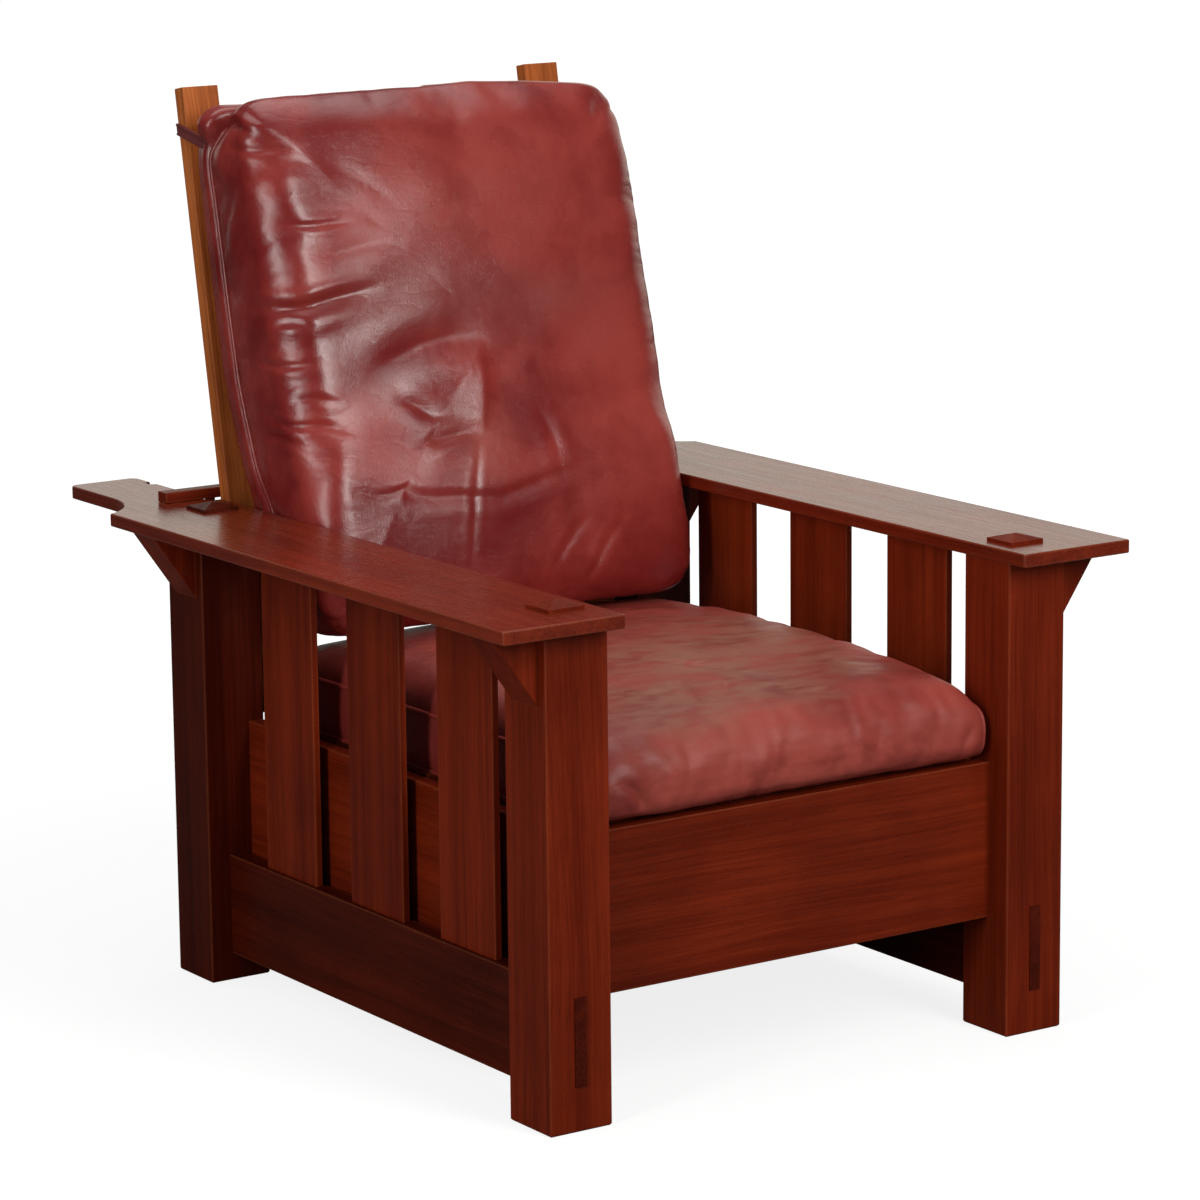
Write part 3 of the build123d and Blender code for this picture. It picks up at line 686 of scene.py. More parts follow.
def mesh_piece(name: str, points: np.ndarray, faces: np.ndarray, material: bpy.types.Material,
               body: str, slot: str) -> bpy.types.Object:
    """Makes a smooth mesh object from points and quads and puts it on a body.

    Args:
        name: Name of the piece.
        points: Vertices, one row each, in metres.
        faces: Quads as vertex numbers.
        material: Its finish.
        body: Name of the body that it rides on.
        slot: Not used.

    Returns:
        The object.
    """
    piece = mesh_object(name, points, faces)
    piece.data.materials.append(material)
    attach(piece, body)
    return piece


def grid_normals(points: np.ndarray, closed: bool = False) -> np.ndarray:
    """Unit normals of a grid of points, as the cross product of its two slopes.

    Args:
        points: Grid of rows by columns by 3.
        closed: Whether the last row meets the first.

    Returns:
        Unit normals in the same grid.
    """
    if closed:
        along = np.roll(points, -1, axis=0) - np.roll(points, 1, axis=0)
    else:
        along = np.gradient(points, axis=0)
    normal = np.cross(np.gradient(points, axis=1), along)
    return normal / np.maximum(np.linalg.norm(normal, axis=-1, keepdims=True), 1e-12)


def tube_points(path: np.ndarray, radius: float, sides: int, up: np.ndarray,
                closed: bool) -> np.ndarray:
    """Rings of a tube carried along a path.

    Formula: each ring is a circle in the plane of a steady side direction and the cross product
    of that direction with the path's slope.

    Args:
        path: Points of the centreline, one row each.
        radius: Radius.
        sides: Points round a ring.
        up: Direction, or one for each point, that a ring starts from.
        closed: Whether the path joins itself.

    Returns:
        Array of rings by sides by 3.
    """
    if closed:
        slope = np.roll(path, -1, axis=0) - np.roll(path, 1, axis=0)
    else:
        slope = np.gradient(path, axis=0)
    slope /= np.linalg.norm(slope, axis=1, keepdims=True)
    side = np.cross(slope, np.broadcast_to(up, path.shape))
    side /= np.linalg.norm(side, axis=1, keepdims=True)
    rise = np.cross(side, slope)
    turn = np.linspace(0.0, 2.0 * pi, sides, endpoint=False)[None, :, None]
    ring = np.cos(turn) * side[:, None, :] + np.sin(turn) * rise[:, None, :]
    return path[:, None, :] + radius * ring


def closed_rings(rings: np.ndarray) -> tuple[np.ndarray, np.ndarray]:
    """Mesh of rings that join in a loop.

    Args:
        rings: Array of rings by sides by 3.

    Returns:
        Points and faces.
    """
    count, sides = rings.shape[:2]
    looped = np.concatenate((rings, rings[:1]))
    return welded(looped.reshape(-1, 3), grid_faces(count + 1, sides, closed=True))


def capped_rings(rings: np.ndarray) -> tuple[np.ndarray, np.ndarray]:
    """Mesh of rings along a path, its two ends closed to their middles.

    Args:
        rings: Array of rings by sides by 3.

    Returns:
        Points and faces.
    """
    first = np.broadcast_to(rings[0].mean(axis=0), rings[:1].shape)
    last = np.broadcast_to(rings[-1].mean(axis=0), rings[:1].shape)
    whole = np.concatenate((first, rings, last))
    return welded(whole.reshape(-1, 3), grid_faces(len(whole), rings.shape[1], closed=True))


@dataclass(frozen=True)
class ClothRules:
    """How a cover behaves while it is blown up: frames, steps, weight, stiffness and slack."""

    frames: int = 20
    quality: int = 6
    mass: float = 0.35
    air_drag: float = 3.0
    stretch: float = 18.0
    shear: float = 8.0
    bend: float = 0.6
    slack: float = 0.035
    pressure: float = 4.0
    cap: float = 12.0 * MM


def blown(points: np.ndarray, faces: np.ndarray, held: np.ndarray,
          rules: ClothRules = ClothRules()) -> np.ndarray:
    """Blows a cover up in Blender's cloth simulation, with slack enough to wrinkle.

    Args:
        points: Vertices of the cover.
        faces: Its quads.
        held: Numbers of the vertices that stay in place.
        rules: How the cover behaves, with the length that no movement passes.

    Returns:
        How far each vertex moved.
    """
    piece = mesh_object("blown", points, faces)
    piece.vertex_groups.new(name="held").add(held.tolist(), 1.0, "REPLACE")
    cloth = piece.modifiers.new("cloth", "CLOTH")
    cloth.point_cache.frame_start, cloth.point_cache.frame_end = 1, rules.frames
    cloth.collision_settings.use_collision = False
    given = cloth.settings
    given.quality, given.mass, given.air_damping = rules.quality, rules.mass, rules.air_drag
    given.tension_stiffness = given.compression_stiffness = rules.stretch
    given.shear_stiffness, given.bending_stiffness = rules.shear, rules.bend
    given.vertex_group_mass, given.pin_stiffness = "held", 1.0
    given.use_pressure, given.uniform_pressure_force = True, rules.pressure
    given.shrink_min = -rules.slack
    given.effector_weights.gravity = 0.0
    for step in range(1, rules.frames + 1):
        bpy.context.scene.frame_set(step)
    settled = piece.evaluated_get(bpy.context.evaluated_depsgraph_get()).data
    moved = np.empty(len(points) * 3, np.float32)
    settled.vertices.foreach_get("co", moved)
    bpy.data.objects.remove(piece)
    bpy.context.scene.frame_set(1)
    moved = np.nan_to_num(moved.reshape(-1, 3) - points)
    length = np.maximum(np.linalg.norm(moved, axis=1, keepdims=True), 1e-9)
    log.info("cloth settled, %.1f mm at most", length.max() / MM)
    return moved * rules.cap * np.tanh(length / rules.cap) / length


def refined(values: np.ndarray, rows: int, columns: int, blur: float) -> np.ndarray:
    """Carries a grid of vectors to a finer one by linear steps and a moving average.

    Args:
        values: Array of rows by columns by 3.
        rows: Rows of the result.
        columns: Columns of the result.
        blur: Reach of the average in cells of the given grid.

    Returns:
        The finer grid.
    """
    weights = []
    for old, new in ((values.shape[0], rows), (values.shape[1], columns)):
        fine = np.linspace(0, old - 1, new)
        steps = np.maximum(0.0, 1.0 - np.abs(fine[:, None] - np.arange(old)))
        window = np.cos(pi / 2 * np.clip(np.abs(fine[:, None] - fine) / blur, 0.0, 1.0)) ** 2
        weights.append(window @ steps / window.sum(axis=1, keepdims=True))
    return np.einsum("ia,abk,jb->ijk", weights[0], values, weights[1], optimize=True)


def wrinkles(moved: np.ndarray, rows: int, columns: int) -> np.ndarray:
    """The short waves of a settled cover: its movement less the movement's own slow part."""
    return refined(moved, rows, columns, 1.2) - refined(moved, rows, columns, 9.0)


@dataclass(frozen=True)
class Crease:
    """One fold of the leather, as a line in metres over a cushion's cover.

    The cover drops by depth at the line, rises again over width on the left of the line's
    direction and over width times lean on its right, and swells beyond. The fold deepens over
    the share start of its line and fades over the share stop. Depth and width are in millimetres.
    """

    line: Line
    depth: float
    width: float
    swell: float = 0.4
    lean: float = 1.0
    start: float = 0.45
    stop: float = 0.45

    def height(self, across: np.ndarray, along: np.ndarray) -> np.ndarray:
        """Height that the crease adds at each place.

        Formula: a falling exponential of the distance to the line, less a lower bell further
        out, both faded towards the line's ends.

        Args:
            across: First coordinate of each place in metres.
            along: Second coordinate of each place in metres.

        Returns:
            The added height in metres.
        """
        points = even_run(self.line, 14, 25)
        length = np.linalg.norm(points[1] - points[0])
        best = np.full(across.shape, 1e9)
        share = np.zeros(across.shape)
        left = np.zeros(across.shape, bool)
        for number in range(len(points) - 1):
            (x0, y0), (dx, dy) = points[number], (points[number + 1] - points[number]) / length
            run = np.clip((across - x0) * dx + (along - y0) * dy, 0.0, length)
            off_x, off_y = across - x0 - run * dx, along - y0 - run * dy
            distance = np.hypot(off_x, off_y)
            nearer = distance < best
            best = np.where(nearer, distance, best)
            share = np.where(nearer, number + run / length, share)
            left = np.where(nearer, off_y * dx - off_x * dy > 0.0, left)
        share = share / (len(points) - 1)
        fade = smooth_step(share, -1e-6, self.start) * smooth_step(1.0 - share, -1e-6, self.stop)
        width = self.width * MM * np.where(left, 1.0, self.lean)
        blunt = 0.3 * width
        sunk = np.exp(-(np.hypot(best, blunt) - blunt) / (0.55 * width))
        raised = np.exp(-((best - 1.9 * width) / (1.1 * width)) ** 2)
        return self.depth * MM * fade * (self.swell * raised - sunk)


@dataclass
class Wall:
    """Profile of a stuffed cover from the middle of its face to its seam, in metres.

    Formula: straight out to the rim, a quarter circle of the rim's radius, then down the wall,
    which stands out by bulge at half height and draws in by tuck at the seam. Both shares are
    read by length along the profile.
    """

    half: float
    depth: float
    rim: float
    bulge: float
    tuck: float

    def __post_init__(self) -> None:
        """Samples the profile and its running length."""
        samples = 240
        arc = np.linspace(0.0, pi / 2, samples)
        fall = np.linspace(0.0, 1.0, samples)
        reach = np.concatenate((np.linspace(0.0, self.half - self.rim, samples),
                                self.half - self.rim + self.rim * np.sin(arc),
                                self.half + self.bulge * np.sin(pi * fall) - self.tuck * fall ** 3))
        rise = np.concatenate((np.full(samples, self.depth),
                               self.depth - self.rim + self.rim * np.cos(arc),
                               (self.depth - self.rim) * (1.0 - fall)))
        length = np.concatenate(([0.0], np.cumsum(np.hypot(np.diff(reach), np.diff(rise)))))
        keep = np.concatenate(([True], np.diff(length) > 1e-9))
        self.length = length[-1]
        self.shares = length[keep] / length[-1]
        self.reach = reach[keep] / self.half
        self.rise = rise[keep] / self.depth

    def at(self, share: np.ndarray) -> tuple[np.ndarray, np.ndarray]:
        """Reach and rise, as shares of half and depth, at shares of the profile's length."""
        return np.interp(share, self.shares, self.reach), np.interp(share, self.shares, self.rise)


def square_grid(count: int) -> tuple[np.ndarray, np.ndarray]:
    """Two coordinates from -1 to 1 on a square grid."""
    steps = np.linspace(-1.0, 1.0, count)
    return np.meshgrid(steps, steps, indexing="xy")


def outline_shares(a: np.ndarray, b: np.ndarray, power: np.ndarray) -> Grids:
    """Maps directions in the square onto a rounded outline.

    Formula: the direction is scaled onto the curve on which the powers of both coordinates add
    up to one.

    Args:
        a: First coordinate.
        b: Second coordinate.
        power: Squareness of the outline.

    Returns:
        The two coordinates of each direction on the outline.
    """
    ring = np.maximum(np.maximum(np.abs(a), np.abs(b)), 1e-9)
    side, end = a / ring, b / ring
    length = np.maximum((np.abs(side) ** power + np.abs(end) ** power) ** (1.0 / power), 1e-9)
    return side / length, end / length


def ring_order(count: int) -> np.ndarray:
    """Vertex numbers round the border of a square grid, in order.

    Args:
        count: Points along one side of the grid.

    Returns:
        The numbers, each once.
    """
    last = count - 1
    top = np.arange(count)
    right = np.arange(1, count) * count + last
    bottom = last * count + np.arange(last - 1, -1, -1)
    left = np.arange(last - 1, 0, -1) * count
    return np.concatenate((top, right, bottom, left))


def closed_cover(front: np.ndarray, rear: np.ndarray) -> tuple[np.ndarray, np.ndarray]:
    """Joins two square grids at their shared border into one closed mesh.

    Args:
        front: Grid of outer points.
        rear: Grid of points of the other panel, with the same border.

    Returns:
        Points and faces.
    """
    count = front.shape[0]
    back = np.arange(count * count).reshape(count, count)
    back[1:-1, 1:-1] = np.arange((count - 2) ** 2).reshape(count - 2, count - 2) + count * count
    quads = grid_faces(count, count)
    points = np.concatenate((front.reshape(-1, 3), rear[1:-1, 1:-1].reshape(-1, 3)))
    faces = np.concatenate((quads, back.reshape(-1)[quads[:, ::-1]]))
    return points, outward(points, faces)


def from_back(x: np.ndarray, n: np.ndarray, u: np.ndarray) -> np.ndarray:
    """Turns the back's own coordinates into the chair's."""
    return np.stack((x, PIVOT.y + u * sin(LEAN) - n * cos(LEAN),
                     PIVOT.z + u * cos(LEAN) + n * sin(LEAN)), axis=-1)


@dataclass
class BackCushion:
    """The loose back cushion: a front cover drawn round its sides to a piped seam behind.

    Each table has places along the posts in _at and, in _ahead, how far the seam, the face or the
    rear panel stands ahead of the posts there. The rear panel hollows between the posts and
    puffs out at its upper corners.
    """

    count: int = 281
    coarse: int = 4
    foot: float = 96.0 * MM
    top: float = 718.0 * MM
    half_low: float = 274.0 * MM
    half_high: float = 277.0 * MM
    face_power: float = 9.0
    rear_power: float = 4.5
    seam_power: float = 26.0
    seam_fall: float = 25.0 * MM
    seam_pull: float = 9.0 * MM
    seam_slack: float = 0.65
    slack_lean: float = 0.35
    piping_radius: float = 3.2 * MM
    crown: float = 19.0 * MM
    right_drop: float = 11.0 * MM
    ripple: float = 0.6
    hollow: float = 0.017
    hollow_half: float = 0.222
    puff_out: float = 17.0 * MM
    puff_up: float = 5.0 * MM
    puff_fall: float = 10.0 * MM
    wave_length: float = 0.26
    wave_height: float = 1.8 * MM
    pucker_pitch: float = 0.047
    pucker_height: float = 0.6 * MM
    fine_pitch: float = 0.017
    fine_height: float = 0.25 * MM
    wall: Wall = field(default_factory=lambda: Wall(0.294, 0.150, 0.052, 0.003, 0.005))
    rear_wall: Wall = field(default_factory=lambda: Wall(0.294, 0.040, 0.026, 0.003, 0.005))
    seam_at: Sizes = (0.09, 0.16, 0.215, 0.268, 0.372, 0.462, 0.530, 0.599, 0.645, 0.672, 0.700,
                      0.725)
    seam_ahead: Sizes = (0.138, 0.130, 0.116, 0.086, 0.070, 0.066, 0.064, 0.062, 0.058, 0.068,
                         0.090, 0.098)
    face_at: Sizes = (0.05, 0.12, 0.20, 0.25, 0.31, 0.39, 0.51, 0.60, 0.70, 0.725)
    face_ahead: Sizes = (0.225, 0.221, 0.222, 0.216, 0.200, 0.191, 0.181, 0.172, 0.150, 0.144)
    rear_at: Sizes = (0.09, 0.147, 0.216, 0.304, 0.40, 0.50, 0.66, 0.70, 0.725)
    rear_ahead: Sizes = (0.100, 0.072, 0.052, 0.028, 0.0155, 0.0125, 0.0125, 0.022, 0.036)

    def outline(self, a: np.ndarray, b: np.ndarray, wall: Wall, power: float) -> Grids:
        """Shared outline of both panels: side and end shares, rise, across, along and seam.

        Formula: the wall's profile over a rounded outline that grows squarer towards the seam; the
        right end of the top edge hangs a little.

        Args:
            a: First coordinate over the panel, from -1 to 1.
            b: Second coordinate.
            wall: Profile of the panel's rim and wall.
            power: Squareness at the panel's middle.

        Returns:
            Side, end, rise, across, along and the seam's place ahead of the posts.
        """
        ring = np.maximum(np.abs(a), np.abs(b))
        power = power + (self.seam_power - power) * ring ** 5
        side, end = outline_shares(a, b, power)
        reach, rise = wall.at(ring)
        side, end = side * reach, end * reach
        along = (self.top + self.foot) / 2 + (self.top - self.foot) / 2 * end
        along = along - self.right_drop * smooth_step(side, 0.2, 1.0) * smooth_step(end, 0.3, 1.0)
        slack = self.seam_slack - self.slack_lean * np.sign(side)
        along = along - self.seam_fall * slack * smooth_step(end, 0.7, 0.98) * (1.0 - rise) ** 3
        widening = smooth_step(along, 0.24, 0.40)
        across = side * (self.half_low + (self.half_high - self.half_low) * widening)
        pull = self.seam_pull * slack * side * smooth_step(end, 0.80, 0.97)
        across = across - pull * (1.0 - rise) ** 2
        seam = smooth_table(self.seam_at, self.seam_ahead, along)
        return side, end, rise, across, along, seam

    def level(self, end: np.ndarray, ahead: np.ndarray, along: np.ndarray) -> np.ndarray:
        """Along with the cushion's foot sheared level with the seat."""
        return along - ahead * tan(LEAN) * smooth_step(-end, 0.5, 0.95)

    def place(self, a: np.ndarray, b: np.ndarray) -> Grids:
        """Across, ahead and along of the front cover, whose face is crowned.

        Args:
            a: First coordinate over the cover.
            b: Second coordinate.

        Returns:
            Three grids in metres.
        """
        side, end, rise, across, along, seam = self.outline(a, b, self.wall, self.face_power)
        face = smooth_table(self.face_at, self.face_ahead, along)
        bow = (1.0 - side ** 2) * (1.0 - end ** 4)
        ahead = seam + (face - seam) * rise + self.crown * bow * rise
        return across, ahead, self.level(end, ahead, along)

    def rear(self, a: np.ndarray, b: np.ndarray) -> Grids:
        """Across, ahead and along of the rear panel, flat against the slats, puffed at its corners.

        Args:
            a: First coordinate over the panel.
            b: Second coordinate.

        Returns:
            Three grids in metres.
        """
        side, end, rise, across, along, seam = self.outline(a, b, self.rear_wall, self.rear_power)
        rest = smooth_table(self.rear_at, self.rear_ahead, along)
        hollow = self.hollow * np.clip(1.0 - (across / self.hollow_half) ** 2, 0.0, 1.0)
        hollow = hollow * smooth_step(along, 0.33, 0.40) * (1.0 - smooth_step(along, 0.62, 0.70))
        ahead = rest - hollow + (seam - rest) * (1.0 - rise)
        corner = smooth_step(np.abs(side), 0.80, 0.97) * smooth_step(end, 0.86, 0.97)
        puff = corner * rise * (1.0 - rise) * 4.0
        across = across + np.sign(side) * self.puff_out * puff
        fall = self.puff_fall * smooth_step(np.abs(side), 0.88, 0.99)
        return across, ahead, self.level(end, ahead, along) + (self.puff_up - fall) * puff

    def creases(self) -> tuple[Crease, ...]:
        """The folds of the front cover, in metres across and along its unrolled face.

        Returns:
            The folds.
        """
        return (
            Crease(((-0.345, 0.730), (-0.297, 0.675), (-0.262, 0.652), (-0.215, 0.664)), 2.2, 5.0),
            Crease(((-0.262, 0.566), (-0.231, 0.555), (-0.199, 0.555), (-0.155, 0.560)), 2.6, 4.5),
            Crease(((-0.262, 0.527), (-0.190, 0.519), (-0.139, 0.529), (-0.080, 0.533)), 2.0, 13.0),
            Crease(((-0.335, 0.480), (-0.268, 0.461), (-0.242, 0.459), (-0.205, 0.467),
                    (-0.120, 0.478)), 5.5, 7.0, 0.6, 1.8),
            Crease(((-0.295, 0.444), (-0.254, 0.442), (-0.225, 0.429)), 2.0, 5.0),
            Crease(((-0.345, 0.402), (-0.271, 0.390), (-0.215, 0.394)), 3.0, 5.0),
            Crease(((-0.190, 0.366), (-0.136, 0.387), (-0.092, 0.401), (-0.038, 0.407),
                    (0.022, 0.395)), 4.5, 20.0, 0.6),
            Crease(((-0.285, 0.350), (-0.245, 0.350), (-0.205, 0.338)), 2.0, 5.0),
            Crease(((-0.350, 0.330), (-0.295, 0.316), (-0.250, 0.319), (-0.195, 0.302)), 2.6, 5.0),
            Crease(((-0.370, 0.285), (-0.295, 0.297), (-0.240, 0.285)), 2.4, 6.0),
            Crease(((-0.300, 0.236), (-0.236, 0.242), (-0.173, 0.219), (-0.110, 0.222),
                    (-0.023, 0.214), (0.069, 0.230), (0.150, 0.240)), 2.4, 5.0, 0.4, 1.4),
            Crease(((-0.016, 0.405), (-0.022, 0.326), (-0.036, 0.284)),
                   -4.6, 12.0, 0.0, 3.4, 0.5, 0.22),
            Crease(((-0.036, 0.290), (-0.063, 0.213), (-0.080, 0.140)), 0.9, 5.0),
            Crease(((-0.140, 0.268), (-0.078, 0.287), (-0.028, 0.290)), 2.6, 7.0, 0.5),
            Crease(((-0.150, 0.345), (-0.110, 0.325), (-0.085, 0.295)), 2.0, 9.0),
            Crease(((0.030, 0.138), (0.081, 0.179), (0.115, 0.192)), 1.3, 5.0),
            Crease(((0.085, 0.118), (0.124, 0.164), (0.170, 0.188)), 1.3, 5.0),
            Crease(((0.050, 0.320), (0.068, 0.270), (0.070, 0.215)), 1.0, 9.0),
            Crease(((-0.195, 0.640), (-0.130, 0.600), (-0.085, 0.560)), 0.5, 9.0),
        )

    def gathers(self) -> tuple[Crease, ...]:
        """Pleats that run from an upper corner of the seam, with across counted outwards.

        Returns:
            The pleats.
        """
        return (
            Crease(((0.400, 0.850), (0.340, 0.765), (0.294, 0.704), (0.254, 0.670)), 7.5, 13.0,
                   0.12, 0.35, 0.01, 0.4),
            Crease(((0.405, 0.815), (0.372, 0.770), (0.350, 0.725)), 2.5, 6.0, 0.2, 1.0, 0.01, 0.8),
            Crease(((0.340, 0.855), (0.322, 0.800), (0.300, 0.765)), 2.5, 6.0, 0.2, 1.0, 0.01, 0.8),
        )

    def unrolled(self, a: np.ndarray, b: np.ndarray) -> tuple[np.ndarray, np.ndarray]:
        """Across and along of the front cover as if it were pressed flat."""
        run = self.wall.length / self.wall.half
        return (a * run * self.half_high,
                (self.top + self.foot) / 2 + b * run * (self.top - self.foot) / 2)

    def sculpt(self, a: np.ndarray, b: np.ndarray) -> np.ndarray:
        """Height that folds, puckers and slow waves add to the front cover.

        Args:
            a: First coordinate over the cover.
            b: Second coordinate.

        Returns:
            The added height in metres.
        """
        across, along = self.unrolled(a, b)
        total = sum(c.height(across, along) for c in self.creases())
        for side, depth in ((Side.LEFT, 1.0), (Side.RIGHT, 0.6)):
            total += depth * sum(c.height(across * side.value, along) for c in self.gathers())
        slow = soft_noise(across, along, self.wave_length, 11, 3) * self.wave_height
        rim = np.exp(-((np.abs(a) - 0.66) / 0.13) ** 2) * smooth_step(-b, -0.85, -0.4)
        wander = 2.2 * soft_noise(across, along, 0.2, 5, 2)
        pucker = np.sin(along * 2.0 * pi / self.pucker_pitch + wander) * rim * self.pucker_height
        pucker = pucker * (0.6 + 0.4 * soft_noise(along, across, 0.15, 8, 1))
        wander = 3.0 * soft_noise(across, along, 0.09, 6, 2)
        fine = np.sin(along * 2.0 * pi / self.fine_pitch + wander) * rim * self.fine_height
        fine = fine * (0.5 + 0.5 * soft_noise(across, along, 0.12, 9, 1))
        edge = np.maximum(np.abs(a), np.abs(b))
        slow = slow * (1.0 - 0.7 * smooth_step(edge, 0.60, 0.72))
        return (total + slow + pucker + fine) * (1.0 - edge ** 24)

    def settle(self, front: np.ndarray, rear: np.ndarray) -> np.ndarray:
        """Wrinkles that the front cover takes when it is blown up against its held seam.

        Args:
            front: Points of the front cover.
            rear: Points of the rear panel.

        Returns:
            The wrinkles, as a movement of each point of the cover.
        """
        near, behind = front[::self.coarse, ::self.coarse], rear[::self.coarse, ::self.coarse]
        count = len(near)
        points, faces = closed_cover(near, behind)
        held = np.concatenate((ring_order(count), np.arange(count * count, len(points))))
        moved = blown(points, faces, held)[:count * count].reshape(count, count, 3)
        return self.ripple * wrinkles(moved, self.count, self.count)

    def build(self, leather: bpy.types.Material) -> None:
        """Makes the cushion and the piping round its rear seam.

        Args:
            leather: Its leather.
        """
        a, b = square_grid(self.count)
        front = from_back(*self.place(a, b))
        rear = from_back(*self.rear(a, b))
        edge = np.maximum(np.abs(a), np.abs(b))[..., None]
        front = front + self.settle(front, rear) * (1.0 - edge ** 30)
        front = front + grid_normals(front) * self.sculpt(a, b)[..., None]
        points, faces = closed_cover(front, rear)
        cushion = mesh_piece("back_cushion_cover", points, faces, leather, "back",
                             "cushion_leather")
        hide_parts("back_cushion")
        border = front.reshape(-1, 3)[ring_order(self.count)]
        away = border - border.mean(axis=0)
        away /= np.linalg.norm(away, axis=1, keepdims=True)
        rings = tube_points(border + away * self.piping_radius * 0.6, self.piping_radius, 10,
                            np.array((0.0, -cos(LEAN), sin(LEAN))), True)
        mesh_piece("back_cushion_piping", *closed_rings(rings), leather, "back", "cushion_leather")
        log.info("back cushion and its piping")


@dataclass
class SeatCushion:
    """The loose seat cushion: one band over top, nose and base, closed by two piped gussets.

    Profiles are in metres back from the front legs' faces and up from the floor.
    """

    along_count: int = 231
    across_count: int = 191
    coarse: int = 5
    gusset_rings: int = 26
    face_y: float = -506.0 * MM
    half: float = 268.5 * MM
    shoulder: float = 42.0 * MM
    shoulder_share: float = 0.80
    gusset_bulge: float = 4.6 * MM
    gusset_full: float = 30.0 * MM
    piping_radius: float = 3.0 * MM
    ripple: float = 0.8
    crown: float = 0.050
    lap: int = 10
    firm_below: float = 0.330
    firm_behind: float = 0.05
    gusset_wave: float = 0.16
    gusset_slack: float = 1.2 * MM
    wave_length: float = 0.20
    wave_height: float = 1.3 * MM
    ripple_pitch: float = 0.045
    ripple_height: float = 0.35 * MM
    fold_pitch: float = 0.041
    fold_height: float = 0.5 * MM
    edge_top: Line = (
        (0.035, 0.364), (0.036, 0.374), (0.041, 0.383), (0.052, 0.389), (0.075, 0.392),
        (0.150, 0.393), (0.300, 0.393), (0.500, 0.392), (0.650, 0.390), (0.700, 0.385),
        (0.713, 0.372), (0.716, 0.358))
    edge_base: Line = (
        (0.035, 0.364), (0.036, 0.350), (0.039, 0.341), (0.046, 0.334), (0.060, 0.3290),
        (0.090, 0.3258), (0.150, 0.3256), (0.400, 0.3256), (0.650, 0.3256), (0.700, 0.327),
        (0.713, 0.340), (0.716, 0.358))
    middle_top: Line = (
        (0.021, 0.366), (0.022, 0.380), (0.027, 0.396), (0.038, 0.411), (0.058, 0.424),
        (0.090, 0.433), (0.150, 0.440), (0.230, 0.445), (0.330, 0.448), (0.430, 0.4475),
        (0.520, 0.4425), (0.556, 0.4395), (0.606, 0.4355), (0.656, 0.431), (0.695, 0.422),
        (0.712, 0.400), (0.714, 0.372))
    middle_base: Line = (
        (0.021, 0.366), (0.022, 0.350), (0.026, 0.340), (0.035, 0.333), (0.052, 0.3285),
        (0.085, 0.3258), (0.150, 0.3256), (0.400, 0.3256), (0.650, 0.3256), (0.700, 0.326),
        (0.712, 0.342), (0.714, 0.372))

    def loop(self, top: Line, base: Line, blur: int) -> np.ndarray:
        """Closed profile: the top from the nose to the rear, then the base back to the nose.

        Args:
            top: Corners of the top's profile.
            base: Corners of the base's profile.
            blur: Rounding of the corners in steps of 1 mm.

        Returns:
            The even points of the loop.
        """
        upper = even_run(top, self.along_count, blur)
        lower = even_run(base, self.along_count, blur)
        return np.concatenate((upper, lower[-2:0:-1]))

    def cross(self) -> tuple[np.ndarray, np.ndarray]:
        """Shares across the cushion and the swell at each, spaced evenly along the curve.

        Formula: a quarter ellipse over the shoulder's width carries most of the swell, and a
        parabola the rest.

        Returns:
            The shares, from -1 to 1, and the swell at each.
        """
        a = np.sin(np.linspace(-pi / 2, pi / 2, 4001))
        near = np.clip((1.0 - np.abs(a)) * self.half / self.shoulder, 0.0, 1.0)
        swell = (self.shoulder_share * np.sqrt(1.0 - (1.0 - near) ** 2)
                 + (1.0 - self.shoulder_share) * (1.0 - a * a))
        length = np.cumsum(np.hypot(np.diff(a * self.half), np.diff(swell * self.crown)))
        length = np.concatenate(([0.0], length))
        even = np.linspace(0.0, length[-1], self.across_count)
        return np.interp(even, length, a), np.interp(even, length, swell)

    def top_creases(self) -> tuple[Crease, ...]:
        """The folds of the top, in metres across and along the chair.

        Returns:
            The folds.
        """
        return (
            Crease(((-0.030, -0.225), (-0.012, -0.270), (0.016, -0.322)), 2.6, 7.0),
            Crease(((0.010, -0.325), (-0.020, -0.365), (-0.060, -0.415)), 2.2, 8.0),
            Crease(((-0.050, -0.295), (-0.070, -0.350), (-0.092, -0.425)), 2.4, 9.0),
            Crease(((-0.140, -0.310), (-0.110, -0.350), (-0.085, -0.395)), 1.8, 9.0),
            Crease(((-0.215, -0.380), (-0.205, -0.440)), 1.8, 9.0),
            Crease(((-0.120, -0.150), (-0.060, -0.190), (-0.020, -0.250)), 1.6, 10.0),
            Crease(((0.090, -0.060), (0.150, -0.090), (0.190, -0.140)), 1.8, 10.0),
            Crease(((0.120, -0.300), (0.160, -0.330), (0.200, -0.380)), 1.6, 10.0),
        )

